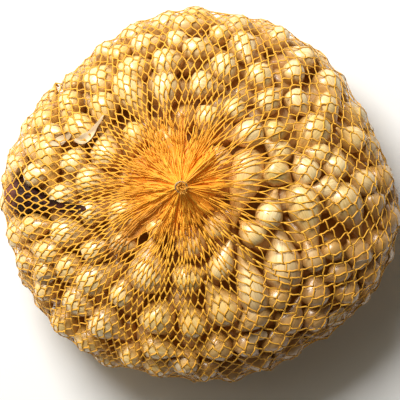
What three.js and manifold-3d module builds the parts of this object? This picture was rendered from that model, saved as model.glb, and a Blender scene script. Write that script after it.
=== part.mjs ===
// A round net bag of onion sets. It stands on its base, with the net drawn together on top:
// a heap of small bulbs in a knitted net, the pleated mouth of the net, and the clip round its neck.
// The heap is one solid of a core with the bulbs that show fused on. One withered dark bulb lies in
// a hollow of its own at the left of the heap. Millimetres, +Z up, and the origin is the middle of
// the sealed foot of the net, on the surface that the bag stands on. Seen from above, +Y is away.
import * as THREE from "three";
import { mergeVertices } from "three/addons/utils/BufferGeometryUtils.js";
import Module from "manifold-3d";

// The filled bag
const BAG_RADIUS = 101; // mean radius of the outline seen from above
const BAG_LOBES = [
  // how far the bag bulges out of round, how many times round, and the turn of the first bulge
  { bulge: 2.8, count: 2, turn: 17 },
  { bulge: 2.5, count: 3, turn: -90 },
  { bulge: 1.6, count: 4, turn: -41 },
  { bulge: 1.2, count: 6, turn: -83 },
];
const HEAP_HEIGHT = 84;
const WIDEST_HEIGHT = 36; // where the heap is widest
const TOP_FULLNESS = 2.25; // 2 is an ellipse, and more is a squarer shoulder
const BASE_FULLNESS = 2.7;
const BASE_PRESS = 1.2; // how far the lowest bulbs are pressed flat by the weight on them

// The bulbs
const BULB_COUNT = 262;
const BULB_SIDES = 6;
const WIDEST_BULB = 19.5;
const NARROWEST_BULB = 11.5;
const LENGTH_SHARE = { least: 1.12, spread: 0.4 }; // length of a bulb over its width
const DEEPEST_SUNK = 2; // how far under the skin a bulb may lie
const BULB_PROFILE = [
  // share of half the width, and share of the length from the root to the tip
  [0, 0],
  [0.98, 0.25],
  [0.76, 0.6],
  [0, 1],
];
const WHOLE_PROFILE = [
  // the same, for a bulb that isn't fused to the core
  [0, 0],
  [0.72, 0.08],
  [1, 0.36],
  [0.68, 0.66],
  [0.25, 0.86],
  [0, 1],
];
const WHOLE_SIDES = 10;
const BELLY_SHARE = 0.38; // where a bulb is widest, as a share of its length
const NECK_SHARE = 0.34; // how far the neck is from the belly, as a share of the length
const NECK_REACH = 0.26; // half the width of the neck, as a share of the bulb's width
const TRIES = 24; // draws for the place of each bulb
const SETTLING_ROUNDS = 60;
const GIVE = 0.4; // share of an overlap by which a bulb gives way in one round
const CORE_DEPTH = 9; // how far the core lies under the skin of the heap
const CORE_FACES = { round: 14, down: 8 };
const FIT_GAP = 0.3; // between solids that rest on each other

// The bulbs that show best, seen from above: place, width, length, and the way the tip points
const SHOWN_BULBS = [
  { x: 24, y: 10, width: 18.5, length: 45, heading: -98 },
  { x: 56, y: -6, width: 18, length: 41, heading: -69 },
  { x: 45, y: -34, width: 21, length: 41, heading: 93 },
  { x: 79, y: -5, width: 19.5, length: 38, heading: -56 },
  { x: 27, y: -46, width: 16.5, length: 42, heading: 107 },
  { x: 12, y: -57, width: 19, length: 30, heading: 118 },
  { x: -27, y: -37, width: 20.5, length: 35, heading: 76 },
  { x: -55, y: -42, width: 16.5, length: 31, heading: 22 },
  { x: -51, y: -68, width: 18.5, length: 26, heading: -35 },
  { x: -4, y: -65, width: 15, length: 25, heading: 100 },
  { x: -37, y: 56, width: 16.5, length: 38, heading: -62 },
  { x: -55, y: 65, width: 17.5, length: 23, heading: 60 },
  { x: -18, y: 72, width: 16, length: 19, heading: 20 },
  { x: 33, y: 66, width: 15.5, length: 25, heading: 50 },
  { x: 36, y: 52, width: 14, length: 19, heading: 42 },
  { x: 60, y: 38, width: 18, length: 24, heading: -130 },
  { x: 26, y: 35, width: 15.5, length: 20, heading: 200 },
  { x: 72, y: 62, width: 16, length: 27, heading: -78 },
  { x: -56, y: 9, width: 17, length: 26, heading: -8 },
  { x: 62, y: -49, width: 17, length: 24, heading: 82 },
  { x: -51, y: 81, width: 14, length: 17, heading: 100 },
  { x: -18, y: 58, width: 15, length: 27, heading: -84 },
  { x: -29, y: 84, width: 14, length: 22, heading: 25 },
  { x: 43, y: 89, width: 14, length: 16, heading: 150 },
  { x: 50, y: 68, width: 12, length: 16, heading: 70 },
  { x: 40, y: 36, width: 13, length: 18, heading: 20 },
  { x: 82, y: 33, width: 14, length: 22, heading: 172 },
  { x: 73, y: 19, width: 15, length: 21, heading: 60 },
  { x: 56, y: 15, width: 15, length: 19, heading: 120 },
  { x: 40, y: 14, width: 14.5, length: 17, heading: -30 },
  { x: 88, y: 9, width: 13.5, length: 18, heading: 165 },
  { x: 80, y: -49, width: 14.5, length: 21, heading: 90 },
  { x: -81, y: 22, width: 14.5, length: 34, heading: -80 },
  { x: -85, y: -48, width: 14, length: 20, heading: 150 },
  { x: -23, y: -65, width: 18.5, length: 21, heading: -60 },
  { x: -22, y: -80, width: 13.5, length: 27, heading: -6 },
  { x: -39, y: -85, width: 14, length: 20, heading: 200 },
  { x: -75, y: -68, width: 17.5, length: 21, heading: 200 },
  { x: 37, y: -7, width: 14.5, length: 24, heading: 66 },
  { x: 12, y: -33, width: 13, length: 27, heading: 65 },
  { x: 49, y: -64, width: 15, length: 24, heading: 75 },
  { x: 71, y: -28, width: 11, length: 20, heading: -35 },
  { x: 0, y: 80, width: 12.5, length: 25, heading: 3 },
  { x: 2, y: 60, width: 15, length: 21, heading: -15 },
  { x: -6, y: 94, width: 12, length: 25, heading: 4 },
  { x: -83, y: -28, width: 13.5, length: 28, heading: 184 },
  { x: 52, y: 51, width: 12.5, length: 17, heading: -60 },
  { x: 18, y: 47, width: 13, length: 17, heading: 70 },
];
const DARK_BULB = { x: -97, y: 1, width: 20, length: 36, heading: -10 };

// The gathered mouth of the net
const MOUTH = new THREE.Vector2(-9.5, 6); // its middle, seen from above
const MOUTH_BARE_RADIUS = 24; // no bulb lies closer to it than this
const SKIRT_RADIUS = 29;
const SKIRT_HEIGHT = 78; // of its edge
const SKIRT_DEPTH = 14; // how far it reaches down between the bulbs
const NECK_RADIUS = 1.9;
const NECK_HEIGHT = 93;
const TUFT_RADIUS = 2.8;
const TUFT_HEIGHT = 102;
const TUFT_HOLLOW = 1;
const PLEATS = 17;
const SIDES_PER_PLEAT = 4;
const PLEAT_DEPTH = 1.5;

// The sealed foot of the net, and the clip
const FOOT_RADIUS = 8;
const FOOT_HEIGHT = 13.5; // it reaches up into the core
const FOOT_BARE_RADIUS = 13;
const CLIP = { radius: 3.1, oval: 1.12, height: 4.2, lowest: 93.6 };
const ROUND_SIDES = 24; // of the foot and the clip

const wasm = await Module();
wasm.setup();

// A seeded draw from 0 to 1
let seed = 41;
function draw() {
  seed = (seed * 48271) % 2147483647;
  return seed / 2147483647;
}

function solidOf(geometry) {
  geometry.deleteAttribute("normal");
  geometry.deleteAttribute("uv");
  const merged = mergeVertices(geometry, 1e-4);
  const corners = merged.index.array;
  const kept = [];
  for (let i = 0; i < corners.length; i += 3) {
    const [a, b, c] = corners.slice(i, i + 3);
    if (a !== b && b !== c && c !== a) kept.push(a, b, c);
  }
  return new wasm.Manifold(
    new wasm.Mesh({
      numProp: 3,
      vertProperties: merged.attributes.position.array,
      triVerts: new Uint32Array(kept),
    }),
  );
}

function geometryOf(solid) {
  const mesh = solid.getMesh();
  const geometry = new THREE.BufferGeometry();
  geometry.setAttribute(
    "position",
    new THREE.BufferAttribute(mesh.vertProperties, 3),
  );
  geometry.setIndex(new THREE.BufferAttribute(mesh.triVerts, 1));
  geometry.computeVertexNormals();
  return geometry;
}

function largestOf(solid) {
  return solid.decompose().sort((a, b) => b.volume() - a.volume())[0];
}

function bagRadius(azimuth) {
  return BAG_LOBES.reduce(
    (sum, lobe) =>
      sum +
      lobe.bulge *
        Math.cos(lobe.count * azimuth - THREE.MathUtils.degToRad(lobe.turn)),
    BAG_RADIUS,
  );
}

// The skin of the heap: azimuth goes round, and polar from 0 on top to pi under the base
function skinPoint(azimuth, polar) {
  const above = polar < Math.PI / 2;
  const power = 2 / (above ? TOP_FULLNESS : BASE_FULLNESS);
  const out = bagRadius(azimuth) * Math.pow(Math.sin(polar), power);
  const up = Math.pow(Math.abs(Math.cos(polar)), power);
  const height = above
    ? WIDEST_HEIGHT + (HEAP_HEIGHT - WIDEST_HEIGHT) * up
    : WIDEST_HEIGHT - (WIDEST_HEIGHT + BASE_PRESS) * up;
  return new THREE.Vector3(
    out * Math.cos(azimuth),
    out * Math.sin(azimuth),
    height,
  );
}

// The way out of the heap at a place on its skin, and the ways round it and up it
function skinWays(azimuth, polar) {
  const step = 0.01;
  const round = new THREE.Vector3(-Math.sin(azimuth), Math.cos(azimuth), 0);
  const low = Math.min(polar + step, Math.PI - step);
  const high = Math.max(polar - step, step);
  const up = skinPoint(azimuth, high)
    .sub(skinPoint(azimuth, low))
    .normalize();
  const out = new THREE.Vector3().crossVectors(round, up).normalize();
  return { round, up, out };
}

// The polar angle at which the top of the heap has this share of its radius
function polarAt(share) {
  return Math.asin(Math.pow(Math.min(share, 1), TOP_FULLNESS / 2));
}

// A bulb lies just under the skin. Its axis runs from the root to the tip.
function bulbAt(azimuth, polar, width, length, axisOf, sunk) {
  const ways = skinWays(azimuth, polar);
  const axis = axisOf(ways);
  axis.addScaledVector(ways.out, -axis.dot(ways.out)).normalize();
  const centre = skinPoint(azimuth, polar).addScaledVector(
    ways.out,
    -width / 2 - sunk,
  );
  return { centre, axis, out: ways.out, width, length, sunk };
}

function shownBulb({ x, y, width, length, heading }) {
  const azimuth = Math.atan2(y, x);
  const turn = THREE.MathUtils.degToRad(heading);
  const polar = polarAt(Math.hypot(x, y) / bagRadius(azimuth));
  const axisOf = () => new THREE.Vector3(Math.cos(turn), Math.sin(turn), 0);
  return bulbAt(azimuth, polar, width, length, axisOf, 0);
}

// Its neighbours feel a bulb as two balls: the belly and the neck
function feltBalls({ centre, axis, width, length }) {
  const neck = centre.clone().addScaledVector(axis, NECK_SHARE * length);
  return [
    { middle: centre, reach: width / 2 },
    { middle: neck, reach: NECK_REACH * width },
  ];
}

// How far two bulbs press into each other, and the way that parts them
function overlap(bulb, other) {
  let most = -Infinity;
  let way = null;
  for (const a of feltBalls(bulb)) {
    for (const b of feltBalls(other)) {
      const apart = a.middle.clone().sub(b.middle);
      const pressed = a.reach + b.reach - apart.length();
      if (pressed > most) {
        most = pressed;
        way = apart.normalize();
      }
    }
  }
  return { most, way };
}

// Half of the draws are even over the top and the base, and half over a ball, for the flanks
function drawnPolar() {
  const height = 1 - 2 * draw();
  const share = Math.sqrt(draw());
  if (draw() < 0.5) return Math.acos(height);
  return height > 0 ? polarAt(share) : Math.PI - polarAt(share);
}

function isBare(point) {
  const top = point.z > WIDEST_HEIGHT;
  return top
    ? Math.hypot(point.x - MOUTH.x, point.y - MOUTH.y) < MOUTH_BARE_RADIUS
    : Math.hypot(point.x, point.y) < FOOT_BARE_RADIUS;
}

// The place on the skin that a point in the heap lies under
function skinPlace(point) {
  const azimuth = Math.atan2(point.y, point.x);
  const rise = point.z - WIDEST_HEIGHT;
  const above = rise > 0;
  const fullness = above ? TOP_FULLNESS : BASE_FULLNESS;
  const reach = above ? HEAP_HEIGHT - WIDEST_HEIGHT : WIDEST_HEIGHT + BASE_PRESS;
  const out = Math.hypot(point.x, point.y) / bagRadius(azimuth);
  const across = Math.pow(out, fullness / 2);
  const up = Math.pow(Math.abs(rise) / reach, fullness / 2);
  return { azimuth, polar: Math.atan2(across, above ? up : -up) };
}

// The bulbs part where they overlap, and the net holds them in. The dark bulb, the first, keeps its
// place, and the shown bulbs give way only to it and to each other.
function settle(bulbs, shown) {
  for (let round = 0; round < SETTLING_ROUNDS; round += 1) {
    for (let i = 1; i < bulbs.length; i += 1) {
      const bulb = bulbs[i];
      const push = new THREE.Vector3();
      const felt = i < shown ? shown : bulbs.length;
      for (let j = 0; j < felt; j += 1) {
        if (j === i) continue;
        const near = bulb.centre.distanceTo(bulbs[j].centre);
        if (near > bulb.length + bulbs[j].length) continue;
        const { most, way } = overlap(bulb, bulbs[j]);
        if (most > 0) push.addScaledVector(way, most * (j === 0 ? 1 : GIVE));
      }
      bulb.centre.add(push);
      const { azimuth, polar } = skinPlace(bulb.centre);
      const { out } = skinWays(azimuth, polar);
      const depth = skinPoint(azimuth, polar).sub(bulb.centre).dot(out);
      const wanted = bulb.width / 2 + bulb.sunk;
      const pull = depth < wanted ? 1 : 0.3;
      bulb.centre.addScaledVector(out, (depth - wanted) * pull);
      bulb.axis.addScaledVector(out, -bulb.axis.dot(out)).normalize();
      bulb.out = out;
    }
  }
}

// The shown bulbs come first, then the rest from large to small, each in the widest gap of many draws
function placeBulbs() {
  const bulbs = [DARK_BULB, ...SHOWN_BULBS].map(shownBulb);
  const shown = bulbs.length;
  while (bulbs.length < BULB_COUNT) {
    const share = bulbs.length / BULB_COUNT;
    const unevenness = 2 * draw() - 1;
    const width =
      WIDEST_BULB - (WIDEST_BULB - NARROWEST_BULB) * share + unevenness;
    const length =
      width * (LENGTH_SHARE.least + LENGTH_SHARE.spread * draw());
    const sunk = DEEPEST_SUNK * draw() * draw();
    let best = null;
    let least = Infinity;
    for (let i = 0; i < TRIES; i += 1) {
      const azimuth = 2 * Math.PI * draw();
      const polar = drawnPolar();
      // On top the tips point away from the mouth or towards it, and on the flanks any way
      const turn = Math.PI / 2 + (draw() - 0.5) * (1 + 5 * Math.sin(polar));
      const axisOf = ({ round, up }) =>
        round
          .clone()
          .multiplyScalar(Math.cos(turn))
          .addScaledVector(up, Math.sin(turn));
      const bulb = bulbAt(azimuth, polar, width, length, axisOf, sunk);
      const pressed = Math.max(
        ...bulbs.map((other) => overlap(bulb, other).most),
      );
      if (!isBare(bulb.centre) && pressed < least) {
        best = bulb;
        least = pressed;
      }
    }
    bulbs.push(best);
  }
  settle(bulbs, shown);
  return bulbs;
}

function turned(bulb, grown, shape, sides) {
  const profile = shape.map(
    ([out, along]) =>
      new THREE.Vector2(
        out * (bulb.width / 2 + grown),
        (along - BELLY_SHARE) * (bulb.length + 2 * grown),
      ),
  );
  return new THREE.LatheGeometry(profile, sides);
}

function placed(geometry, bulb) {
  const side = new THREE.Vector3().crossVectors(bulb.axis, bulb.out);
  const place = new THREE.Matrix4()
    .makeBasis(side, bulb.axis, bulb.out)
    .setPosition(bulb.centre);
  return solidOf(geometry.applyMatrix4(place));
}

// A whole bulb, grown by a gap all round
function wholeBulb(bulb, grown = 0) {
  return placed(turned(bulb, grown, WHOLE_PROFILE, WHOLE_SIDES), bulb);
}

// A bulb of the heap is turned only on the side that shows, and tapers to a point in the core
function rootedBulb(bulb, grown) {
  const shownSides = BULB_SIDES / 2;
  const sides = shownSides + 2;
  const geometry = turned(bulb, grown, BULB_PROFILE, sides);
  const points = geometry.attributes.position;
  for (let i = 0; i < points.count; i += 1) {
    const column = Math.floor(i / BULB_PROFILE.length) % sides;
    const turn = Math.PI * (column / shownSides - 0.5);
    const reach = Math.hypot(points.getX(i), points.getZ(i));
    const across = reach * Math.sin(turn);
    const out = reach * Math.cos(turn);
    if (column > shownSides) points.setXYZ(i, 0, 0, -CORE_DEPTH);
    else points.setXYZ(i, across, points.getY(i), out);
  }
  return placed(geometry, bulb);
}

// The core is a ball whose points are moved to just under the skin of the heap
function coreSolid(grown = 0) {
  const geometry = new THREE.SphereGeometry(
    1,
    CORE_FACES.round,
    CORE_FACES.down,
  );
  const points = geometry.attributes.position;
  for (let i = 0; i < points.count; i += 1) {
    const azimuth = Math.atan2(-points.getZ(i), points.getX(i));
    const polar = Math.acos(THREE.MathUtils.clamp(points.getY(i), -1, 1));
    const ways = skinWays(azimuth, polar);
    const point = skinPoint(azimuth, polar).addScaledVector(
      ways.out,
      grown - CORE_DEPTH,
    );
    if (polar < 1e-6 || polar > Math.PI - 1e-6) point.setX(0).setY(0);
    points.setXYZ(i, point.x, point.y, point.z);
  }
  return solidOf(geometry);
}

function footSolid() {
  const foot = new THREE.CylinderGeometry(
    FOOT_RADIUS,
    FOOT_RADIUS,
    FOOT_HEIGHT,
    ROUND_SIDES,
  );
  foot.rotateX(Math.PI / 2).translate(0, 0, FOOT_HEIGHT / 2);
  return solidOf(foot);
}

// What the bag stands on, which presses its lowest bulbs flat
function floorSolid() {
  const side = BAG_RADIUS * 3;
  const floor = new THREE.BoxGeometry(side, side, side);
  return solidOf(floor.translate(0, 0, -side / 2));
}

function heapSolid(bulbs, grown = 0) {
  const pieces = bulbs.map((bulb) => rootedBulb(bulb, grown));
  return wasm.Manifold.union([coreSolid(grown), ...pieces]);
}

// The mouth of the net: a pleated skirt that rises to the neck, and the tuft above the clip
function mouthSolid() {
  const rise = NECK_HEIGHT - SKIRT_HEIGHT;
  const clipTop = CLIP.lowest + CLIP.height;
  const sections = [
    // radius, height and how much of the pleats shows
    [0, SKIRT_HEIGHT - SKIRT_DEPTH, 0],
    [SKIRT_RADIUS * 0.9, SKIRT_HEIGHT - SKIRT_DEPTH, 0.2],
    [SKIRT_RADIUS, SKIRT_HEIGHT, 0.4],
    [SKIRT_RADIUS * 0.62, SKIRT_HEIGHT + 0.36 * rise, 1],
    [SKIRT_RADIUS * 0.3, SKIRT_HEIGHT + 0.7 * rise, 0.8],
    [NECK_RADIUS, NECK_HEIGHT, 0.1],
    [NECK_RADIUS, clipTop, 0.1],
    [TUFT_RADIUS, THREE.MathUtils.lerp(clipTop, TUFT_HEIGHT, 0.4), 0.25],
    [TUFT_RADIUS * 0.8, TUFT_HEIGHT, 0.3],
    [0, TUFT_HEIGHT - TUFT_HOLLOW, 0],
  ];
  const sides = PLEATS * SIDES_PER_PLEAT;
  const profile = sections.map(([radius, height]) => {
    return new THREE.Vector2(radius, height);
  });
  const geometry = new THREE.LatheGeometry(profile, sides);
  const points = geometry.attributes.position;
  for (let i = 0; i < points.count; i += 1) {
    const [radius, height, pleated] = sections[i % sections.length];
    const azimuth =
      (2 * Math.PI * (Math.floor(i / sections.length) % sides)) / sides;
    const uneven = 0.6 * Math.sin(3 * azimuth);
    const wave = pleated * Math.cos(PLEATS * azimuth + uneven);
    const out = radius + wave * Math.min(PLEAT_DEPTH, radius * 0.3);
    const lift = radius > NECK_RADIUS * 2 ? PLEAT_DEPTH * wave * 0.8 : 0;
    points.setXYZ(
      i,
      MOUTH.x + out * Math.cos(azimuth),
      MOUTH.y + out * Math.sin(azimuth),
      height + lift,
    );
  }
  return solidOf(geometry);
}

// The crimped clip: a flat band bent round the neck, a little oval
function clipSolid() {
  const inner = NECK_RADIUS + 0.1 * PLEAT_DEPTH + FIT_GAP;
  const shape = new THREE.Shape();
  shape.absellipse(0, 0, CLIP.radius * CLIP.oval, CLIP.radius, 0, 2 * Math.PI);
  const hole = new THREE.Path();
  hole.absarc(0, 0, inner, 0, 2 * Math.PI, true);
  shape.holes.push(hole);
  const geometry = new THREE.ExtrudeGeometry(shape, {
    depth: CLIP.height,
    curveSegments: ROUND_SIDES / 2,
    bevelEnabled: false,
  });
  geometry.translate(MOUTH.x, MOUTH.y, CLIP.lowest);
  return solidOf(geometry);
}

function makeBag() {
  const [dark, ...bulbs] = placeBulbs();
  const nearMouth = bulbs.filter(({ centre }) => centre.z > WIDEST_HEIGHT);
  const hollow = wholeBulb(dark, FIT_GAP);
  const heap = heapSolid(bulbs)
    .add(footSolid())
    .subtract(floorSolid())
    .subtract(hollow);
  const mouth = mouthSolid().subtract(heapSolid(nearMouth, FIT_GAP));
  return {
    netted_bulbs: largestOf(heap),
    gathered_mouth: largestOf(mouth),
    neck_clip: clipSolid(),
    dark_bulb: wholeBulb(dark),
  };
}

const FINISHES = {
  netted_bulbs: { color: 0xe2b65e, roughness: 0.45, metalness: 0 },
  gathered_mouth: { color: 0xe8962a, roughness: 0.5, metalness: 0 },
  neck_clip: { color: 0xc9c4b4, roughness: 0.35, metalness: 1 },
  dark_bulb: { color: 0x3a1f1c, roughness: 0.6, metalness: 0 },
};

const bag = new THREE.Group();
for (const [name, solid] of Object.entries(makeBag())) {
  const material = new THREE.MeshStandardMaterial(FINISHES[name]);
  const mesh = new THREE.Mesh(geometryOf(solid), material);
  mesh.name = name;
  bag.add(mesh);
}

export default bag;
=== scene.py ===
# %% [markdown]
# # A net bag of onion sets
# A round bag of small onions for planting stands on its base. The net is knitted from yellow plastic
# yarn and drawn together on top, where a metal clip holds its neck. The imported part gives the size
# and the place of everything: a heap of bulbs, the mouth of the net, the clip and one dark bulb.
# The frame is loaded first.

# %% Load the frame
import math

import bpy
import numpy as np
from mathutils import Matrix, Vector
from mathutils.bvhtree import BVHTree


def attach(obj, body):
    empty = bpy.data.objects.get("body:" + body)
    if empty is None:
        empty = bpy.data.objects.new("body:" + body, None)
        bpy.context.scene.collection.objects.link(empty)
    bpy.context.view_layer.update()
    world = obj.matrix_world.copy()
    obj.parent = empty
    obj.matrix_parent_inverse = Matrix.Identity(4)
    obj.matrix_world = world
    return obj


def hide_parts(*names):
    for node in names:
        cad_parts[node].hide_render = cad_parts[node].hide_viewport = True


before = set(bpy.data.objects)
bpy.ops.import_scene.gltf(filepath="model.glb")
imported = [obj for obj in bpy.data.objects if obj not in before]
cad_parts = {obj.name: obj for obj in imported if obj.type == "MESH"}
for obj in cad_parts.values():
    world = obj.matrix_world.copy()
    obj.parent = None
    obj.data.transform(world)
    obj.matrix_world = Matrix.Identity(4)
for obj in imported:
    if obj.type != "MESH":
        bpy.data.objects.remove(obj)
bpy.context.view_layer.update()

MM = 0.001

# %% [markdown]
# ## Camera, floor and light
# The photograph looks straight down on the bag, so the camera hangs high above it with a long lens:
# a long lens keeps the tall middle from looking wider than the rim. The light comes from the upper
# left, where the highlights on the bulbs point: one soft lamp stands for it. A larger, warmer lamp
# beside it and a warm sky fill the shade.

# %% Camera
CAMERA_HEIGHT = 1.45
WIDEST_HEIGHT = 36  # mm, where the heap is widest
VIEW_WIDTH = 0.210  # what the picture spans at that height
camera_data = bpy.data.cameras.new("camera")
camera_data.sensor_width = 36
camera_data.lens = 36 * (CAMERA_HEIGHT - WIDEST_HEIGHT * MM) / VIEW_WIDTH
camera = bpy.data.objects.new("camera", camera_data)
camera.location = (0, -0.0005, CAMERA_HEIGHT)  # half a millimetre down, as the photograph is cropped
bpy.context.scene.collection.objects.link(camera)
bpy.context.scene.camera = camera
print("lens in mm:", round(camera_data.lens))

# %% Light
LAMP_DISTANCE = 1.6
LAMP_WAY = Vector((-0.41, 0.66, 0.82)).normalized()
FILL_PLACE = Vector((-1.5, 1.1, 1.9))
SKY_COLOUR, SKY_STRENGTH = (1.0, 0.86, 0.64, 1), 0.11


def lamp_at(name, place, size, energy, colour):
    """A square lamp that points at the bag."""
    data = bpy.data.lights.new(name, "AREA")
    data.size, data.energy, data.color = size, energy, colour
    lamp = bpy.data.objects.new(name, data)
    lamp.location = place
    lamp.rotation_euler = place.to_track_quat("Z", "Y").to_euler()
    bpy.context.scene.collection.objects.link(lamp)


lamp_at("lamp", LAMP_WAY * LAMP_DISTANCE, 0.8, 40, (1.0, 0.965, 0.90))
lamp_at("fill", FILL_PLACE, 2.4, 16, (1.0, 0.90, 0.72))
world = bpy.data.worlds.new("sky")
world.use_nodes = True
sky = world.node_tree.nodes["Background"]
sky.inputs["Color"].default_value = SKY_COLOUR
sky.inputs["Strength"].default_value = SKY_STRENGTH
bpy.context.scene.world = world
bpy.context.scene.view_settings.view_transform = "Standard"
print("lamps:", [lamp.name for lamp in bpy.data.lights])

# %% [markdown]
# ## How the finishes are written
# A material is a graph of nodes, and sums in it are easier to read as plain expressions. `Wire` is one
# socket, and arithmetic on it adds Math nodes. `Finish` is one material, and its `node` method makes
# any other node. Each finish below is then a few lines that say what lies over what.


# %% Wires and finishes
class Wire:
    """A socket of a finish. Arithmetic on it adds Math nodes."""

    def __init__(self, finish, socket):
        self.finish = finish
        self.socket = socket

    def math(self, operation, *values):
        kind = {"operation": operation}
        return self.finish.node("ShaderNodeMath", kind, dict(enumerate(values)))

    def __add__(self, other):
        return self.math("ADD", self, other)

    def __sub__(self, other):
        return self.math("SUBTRACT", self, other)

    def __rsub__(self, other):
        return self.math("SUBTRACT", other, self)

    def __mul__(self, other):
        return self.math("MULTIPLY", self, other)

    def __abs__(self):
        return self.math("ABSOLUTE", self)

    __radd__ = __add__
    __rmul__ = __mul__


class Finish:
    """A material on the Principled shader. Constants go on the shader's own sockets."""

    def __init__(self, name, constants):
        self.material = bpy.data.materials.new(name)
        self.material.use_nodes = True
        self.tree = self.material.node_tree
        self.shader = self.tree.nodes["Principled BSDF"]
        for socket, value in constants.items():
            self.shader.inputs[socket].default_value = value

    def node(self, kind, settings=None, sockets=None, output=0):
        made = self.tree.nodes.new(kind)
        for name, value in (settings or {}).items():
            setattr(made, name, value)
        for key, value in (sockets or {}).items():
            if isinstance(value, Wire):
                self.tree.links.new(value.socket, made.inputs[key])
            else:
                made.inputs[key].default_value = value
        return Wire(self, made.outputs[output])

    def feed(self, name, wire):
        self.tree.links.new(wire.socket, self.shader.inputs[name])

    def mix(self, share, first, second):
        kind = {"data_type": "RGBA"}
        return self.node("ShaderNodeMix", kind, {0: share, 6: first, 7: second}, 2)

    def step(self, value, low, high):
        kind = {"interpolation_type": "SMOOTHSTEP"}
        return self.node("ShaderNodeMapRange", kind, {0: value, 1: low, 2: high})

    def noise(self, vector, scale, detail=2.0):
        sockets = {"Vector": vector, "Scale": scale, "Detail": detail}
        return self.node("ShaderNodeTexNoise", {}, sockets)

    def place(self):
        return self.node("ShaderNodeTexCoord", output="Object")

    def value(self, name):
        return self.node("ShaderNodeAttribute", {"attribute_name": name}, output="Fac")

    def bump(self, height, strength, distance):
        sockets = {"Height": height, "Strength": strength, "Distance": distance}
        self.feed("Normal", self.node("ShaderNodeBump", {}, sockets))


def paint(red, green, blue):
    """A colour as a painter reads it off a picture, from 0 to 255, in linear light."""
    shares = [c / 255 for c in (red, green, blue)]
    linear = [s / 12.92 if s < 0.04045 else ((s + 0.055) / 1.055) ** 2.4 for s in shares]
    return (*linear, 1.0)


print("a middle grey in linear light:", round(paint(128, 128, 128)[0], 3))

# %% [markdown]
# ## The floor
# The bag stands on a plain pale floor, a plane. Faint specks keep it from
# looking like bare paper.

# %% Floor
bpy.ops.object.select_all(action="DESELECT")
bpy.ops.mesh.primitive_plane_add(size=4, location=(0, 0, 0))
floor = bpy.context.active_object
floor.name = "floor"
floor_finish = Finish("floor_paint", {"Roughness": 0.9})
specks = floor_finish.noise(floor_finish.place(), 9.0)
pale = floor_finish.mix(specks, paint(236, 239, 244), paint(240, 243, 248))
floor_finish.feed("Base Color", pale)
floor.data.materials.append(floor_finish.material)
print("floor in m:", list(floor.dimensions)[:2])

# %% [markdown]
# ## The heap under the net
# A few hundred bulbs press against each other and against the net. Moving them by hand would take
# days, so they follow a rule: the heap has a skin, a rounded square turned round with a few wide
# bulges, and each bulb lies just under it. The rule is the one that the part was made by, with the
# same sizes and the same seeded draws, so each bulb lands where its solid is.

# %% The skin of the heap, in millimetres
BAG_RADIUS = 101
BAG_LOBES = [(2.8, 2, 17), (2.5, 3, -90), (1.6, 4, -41), (1.2, 6, -83)]
HEAP_HEIGHT = 84
TOP_FULLNESS = 2.25
BASE_FULLNESS = 2.7
BASE_PRESS = 1.2


def bag_radius(azimuth):
    waves = [b * np.cos(n * azimuth - math.radians(t)) for b, n, t in BAG_LOBES]
    return BAG_RADIUS + sum(waves)


def skin_point(azimuth, polar):
    """A place on the skin: azimuth goes round, polar from 0 on top to pi under the base."""
    azimuth, polar = np.broadcast_arrays(np.asarray(azimuth, float), np.asarray(polar, float))
    above = polar < math.pi / 2
    power = np.where(above, 2 / TOP_FULLNESS, 2 / BASE_FULLNESS)
    out = bag_radius(azimuth) * np.sin(polar) ** power
    up = np.abs(np.cos(polar)) ** power
    rise = np.where(above, HEAP_HEIGHT - WIDEST_HEIGHT, -WIDEST_HEIGHT - BASE_PRESS)
    height = WIDEST_HEIGHT + rise * up
    return np.stack([out * np.cos(azimuth), out * np.sin(azimuth), height], -1)


def unit(vectors):
    return vectors / np.linalg.norm(vectors, axis=-1, keepdims=True)


def plan_way(turn):
    """The way of a heading in radians, seen from above."""
    return np.array([math.cos(turn), math.sin(turn)])


def skin_ways(azimuth, polar):
    """The ways round the heap, up it and out of it, at a place on its skin."""
    azimuth, polar = np.broadcast_arrays(np.asarray(azimuth, float), np.asarray(polar, float))
    step = 0.01  # radians, between the places that the way up is taken from
    round_way = np.stack([-np.sin(azimuth), np.cos(azimuth), 0 * azimuth], -1)
    high = skin_point(azimuth, np.maximum(polar - step, step))
    low = skin_point(azimuth, np.minimum(polar + step, math.pi - step))
    up = unit(high - low)
    return round_way, up, unit(np.cross(round_way, up))


def polar_at(share):
    """The polar angle at which the top of the heap has this share of its radius."""
    return np.arcsin(np.minimum(share, 1) ** (TOP_FULLNESS / 2))


def skin_place(point):
    """The place on the skin that a point in the heap lies under."""
    azimuth = np.arctan2(point[..., 1], point[..., 0])
    rise = point[..., 2] - WIDEST_HEIGHT
    above = rise > 0
    fullness = np.where(above, TOP_FULLNESS, BASE_FULLNESS)
    reach = np.where(above, HEAP_HEIGHT - WIDEST_HEIGHT, WIDEST_HEIGHT + BASE_PRESS)
    out = np.hypot(point[..., 0], point[..., 1]) / bag_radius(azimuth)
    up = (np.abs(rise) / reach) ** (fullness / 2)
    return azimuth, np.arctan2(out ** (fullness / 2), np.where(above, up, -up))


print("skin rises to", skin_point(0, 0)[2].round(1), "mm")

# %% [markdown]
# ### Filling the heap
# The bulbs that show best in the photograph are placed one by one. The gaps between them are filled
# by draws: each new bulb is tried at many places and stays in the widest gap, and the bulbs get
# smaller as the gaps do.

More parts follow.
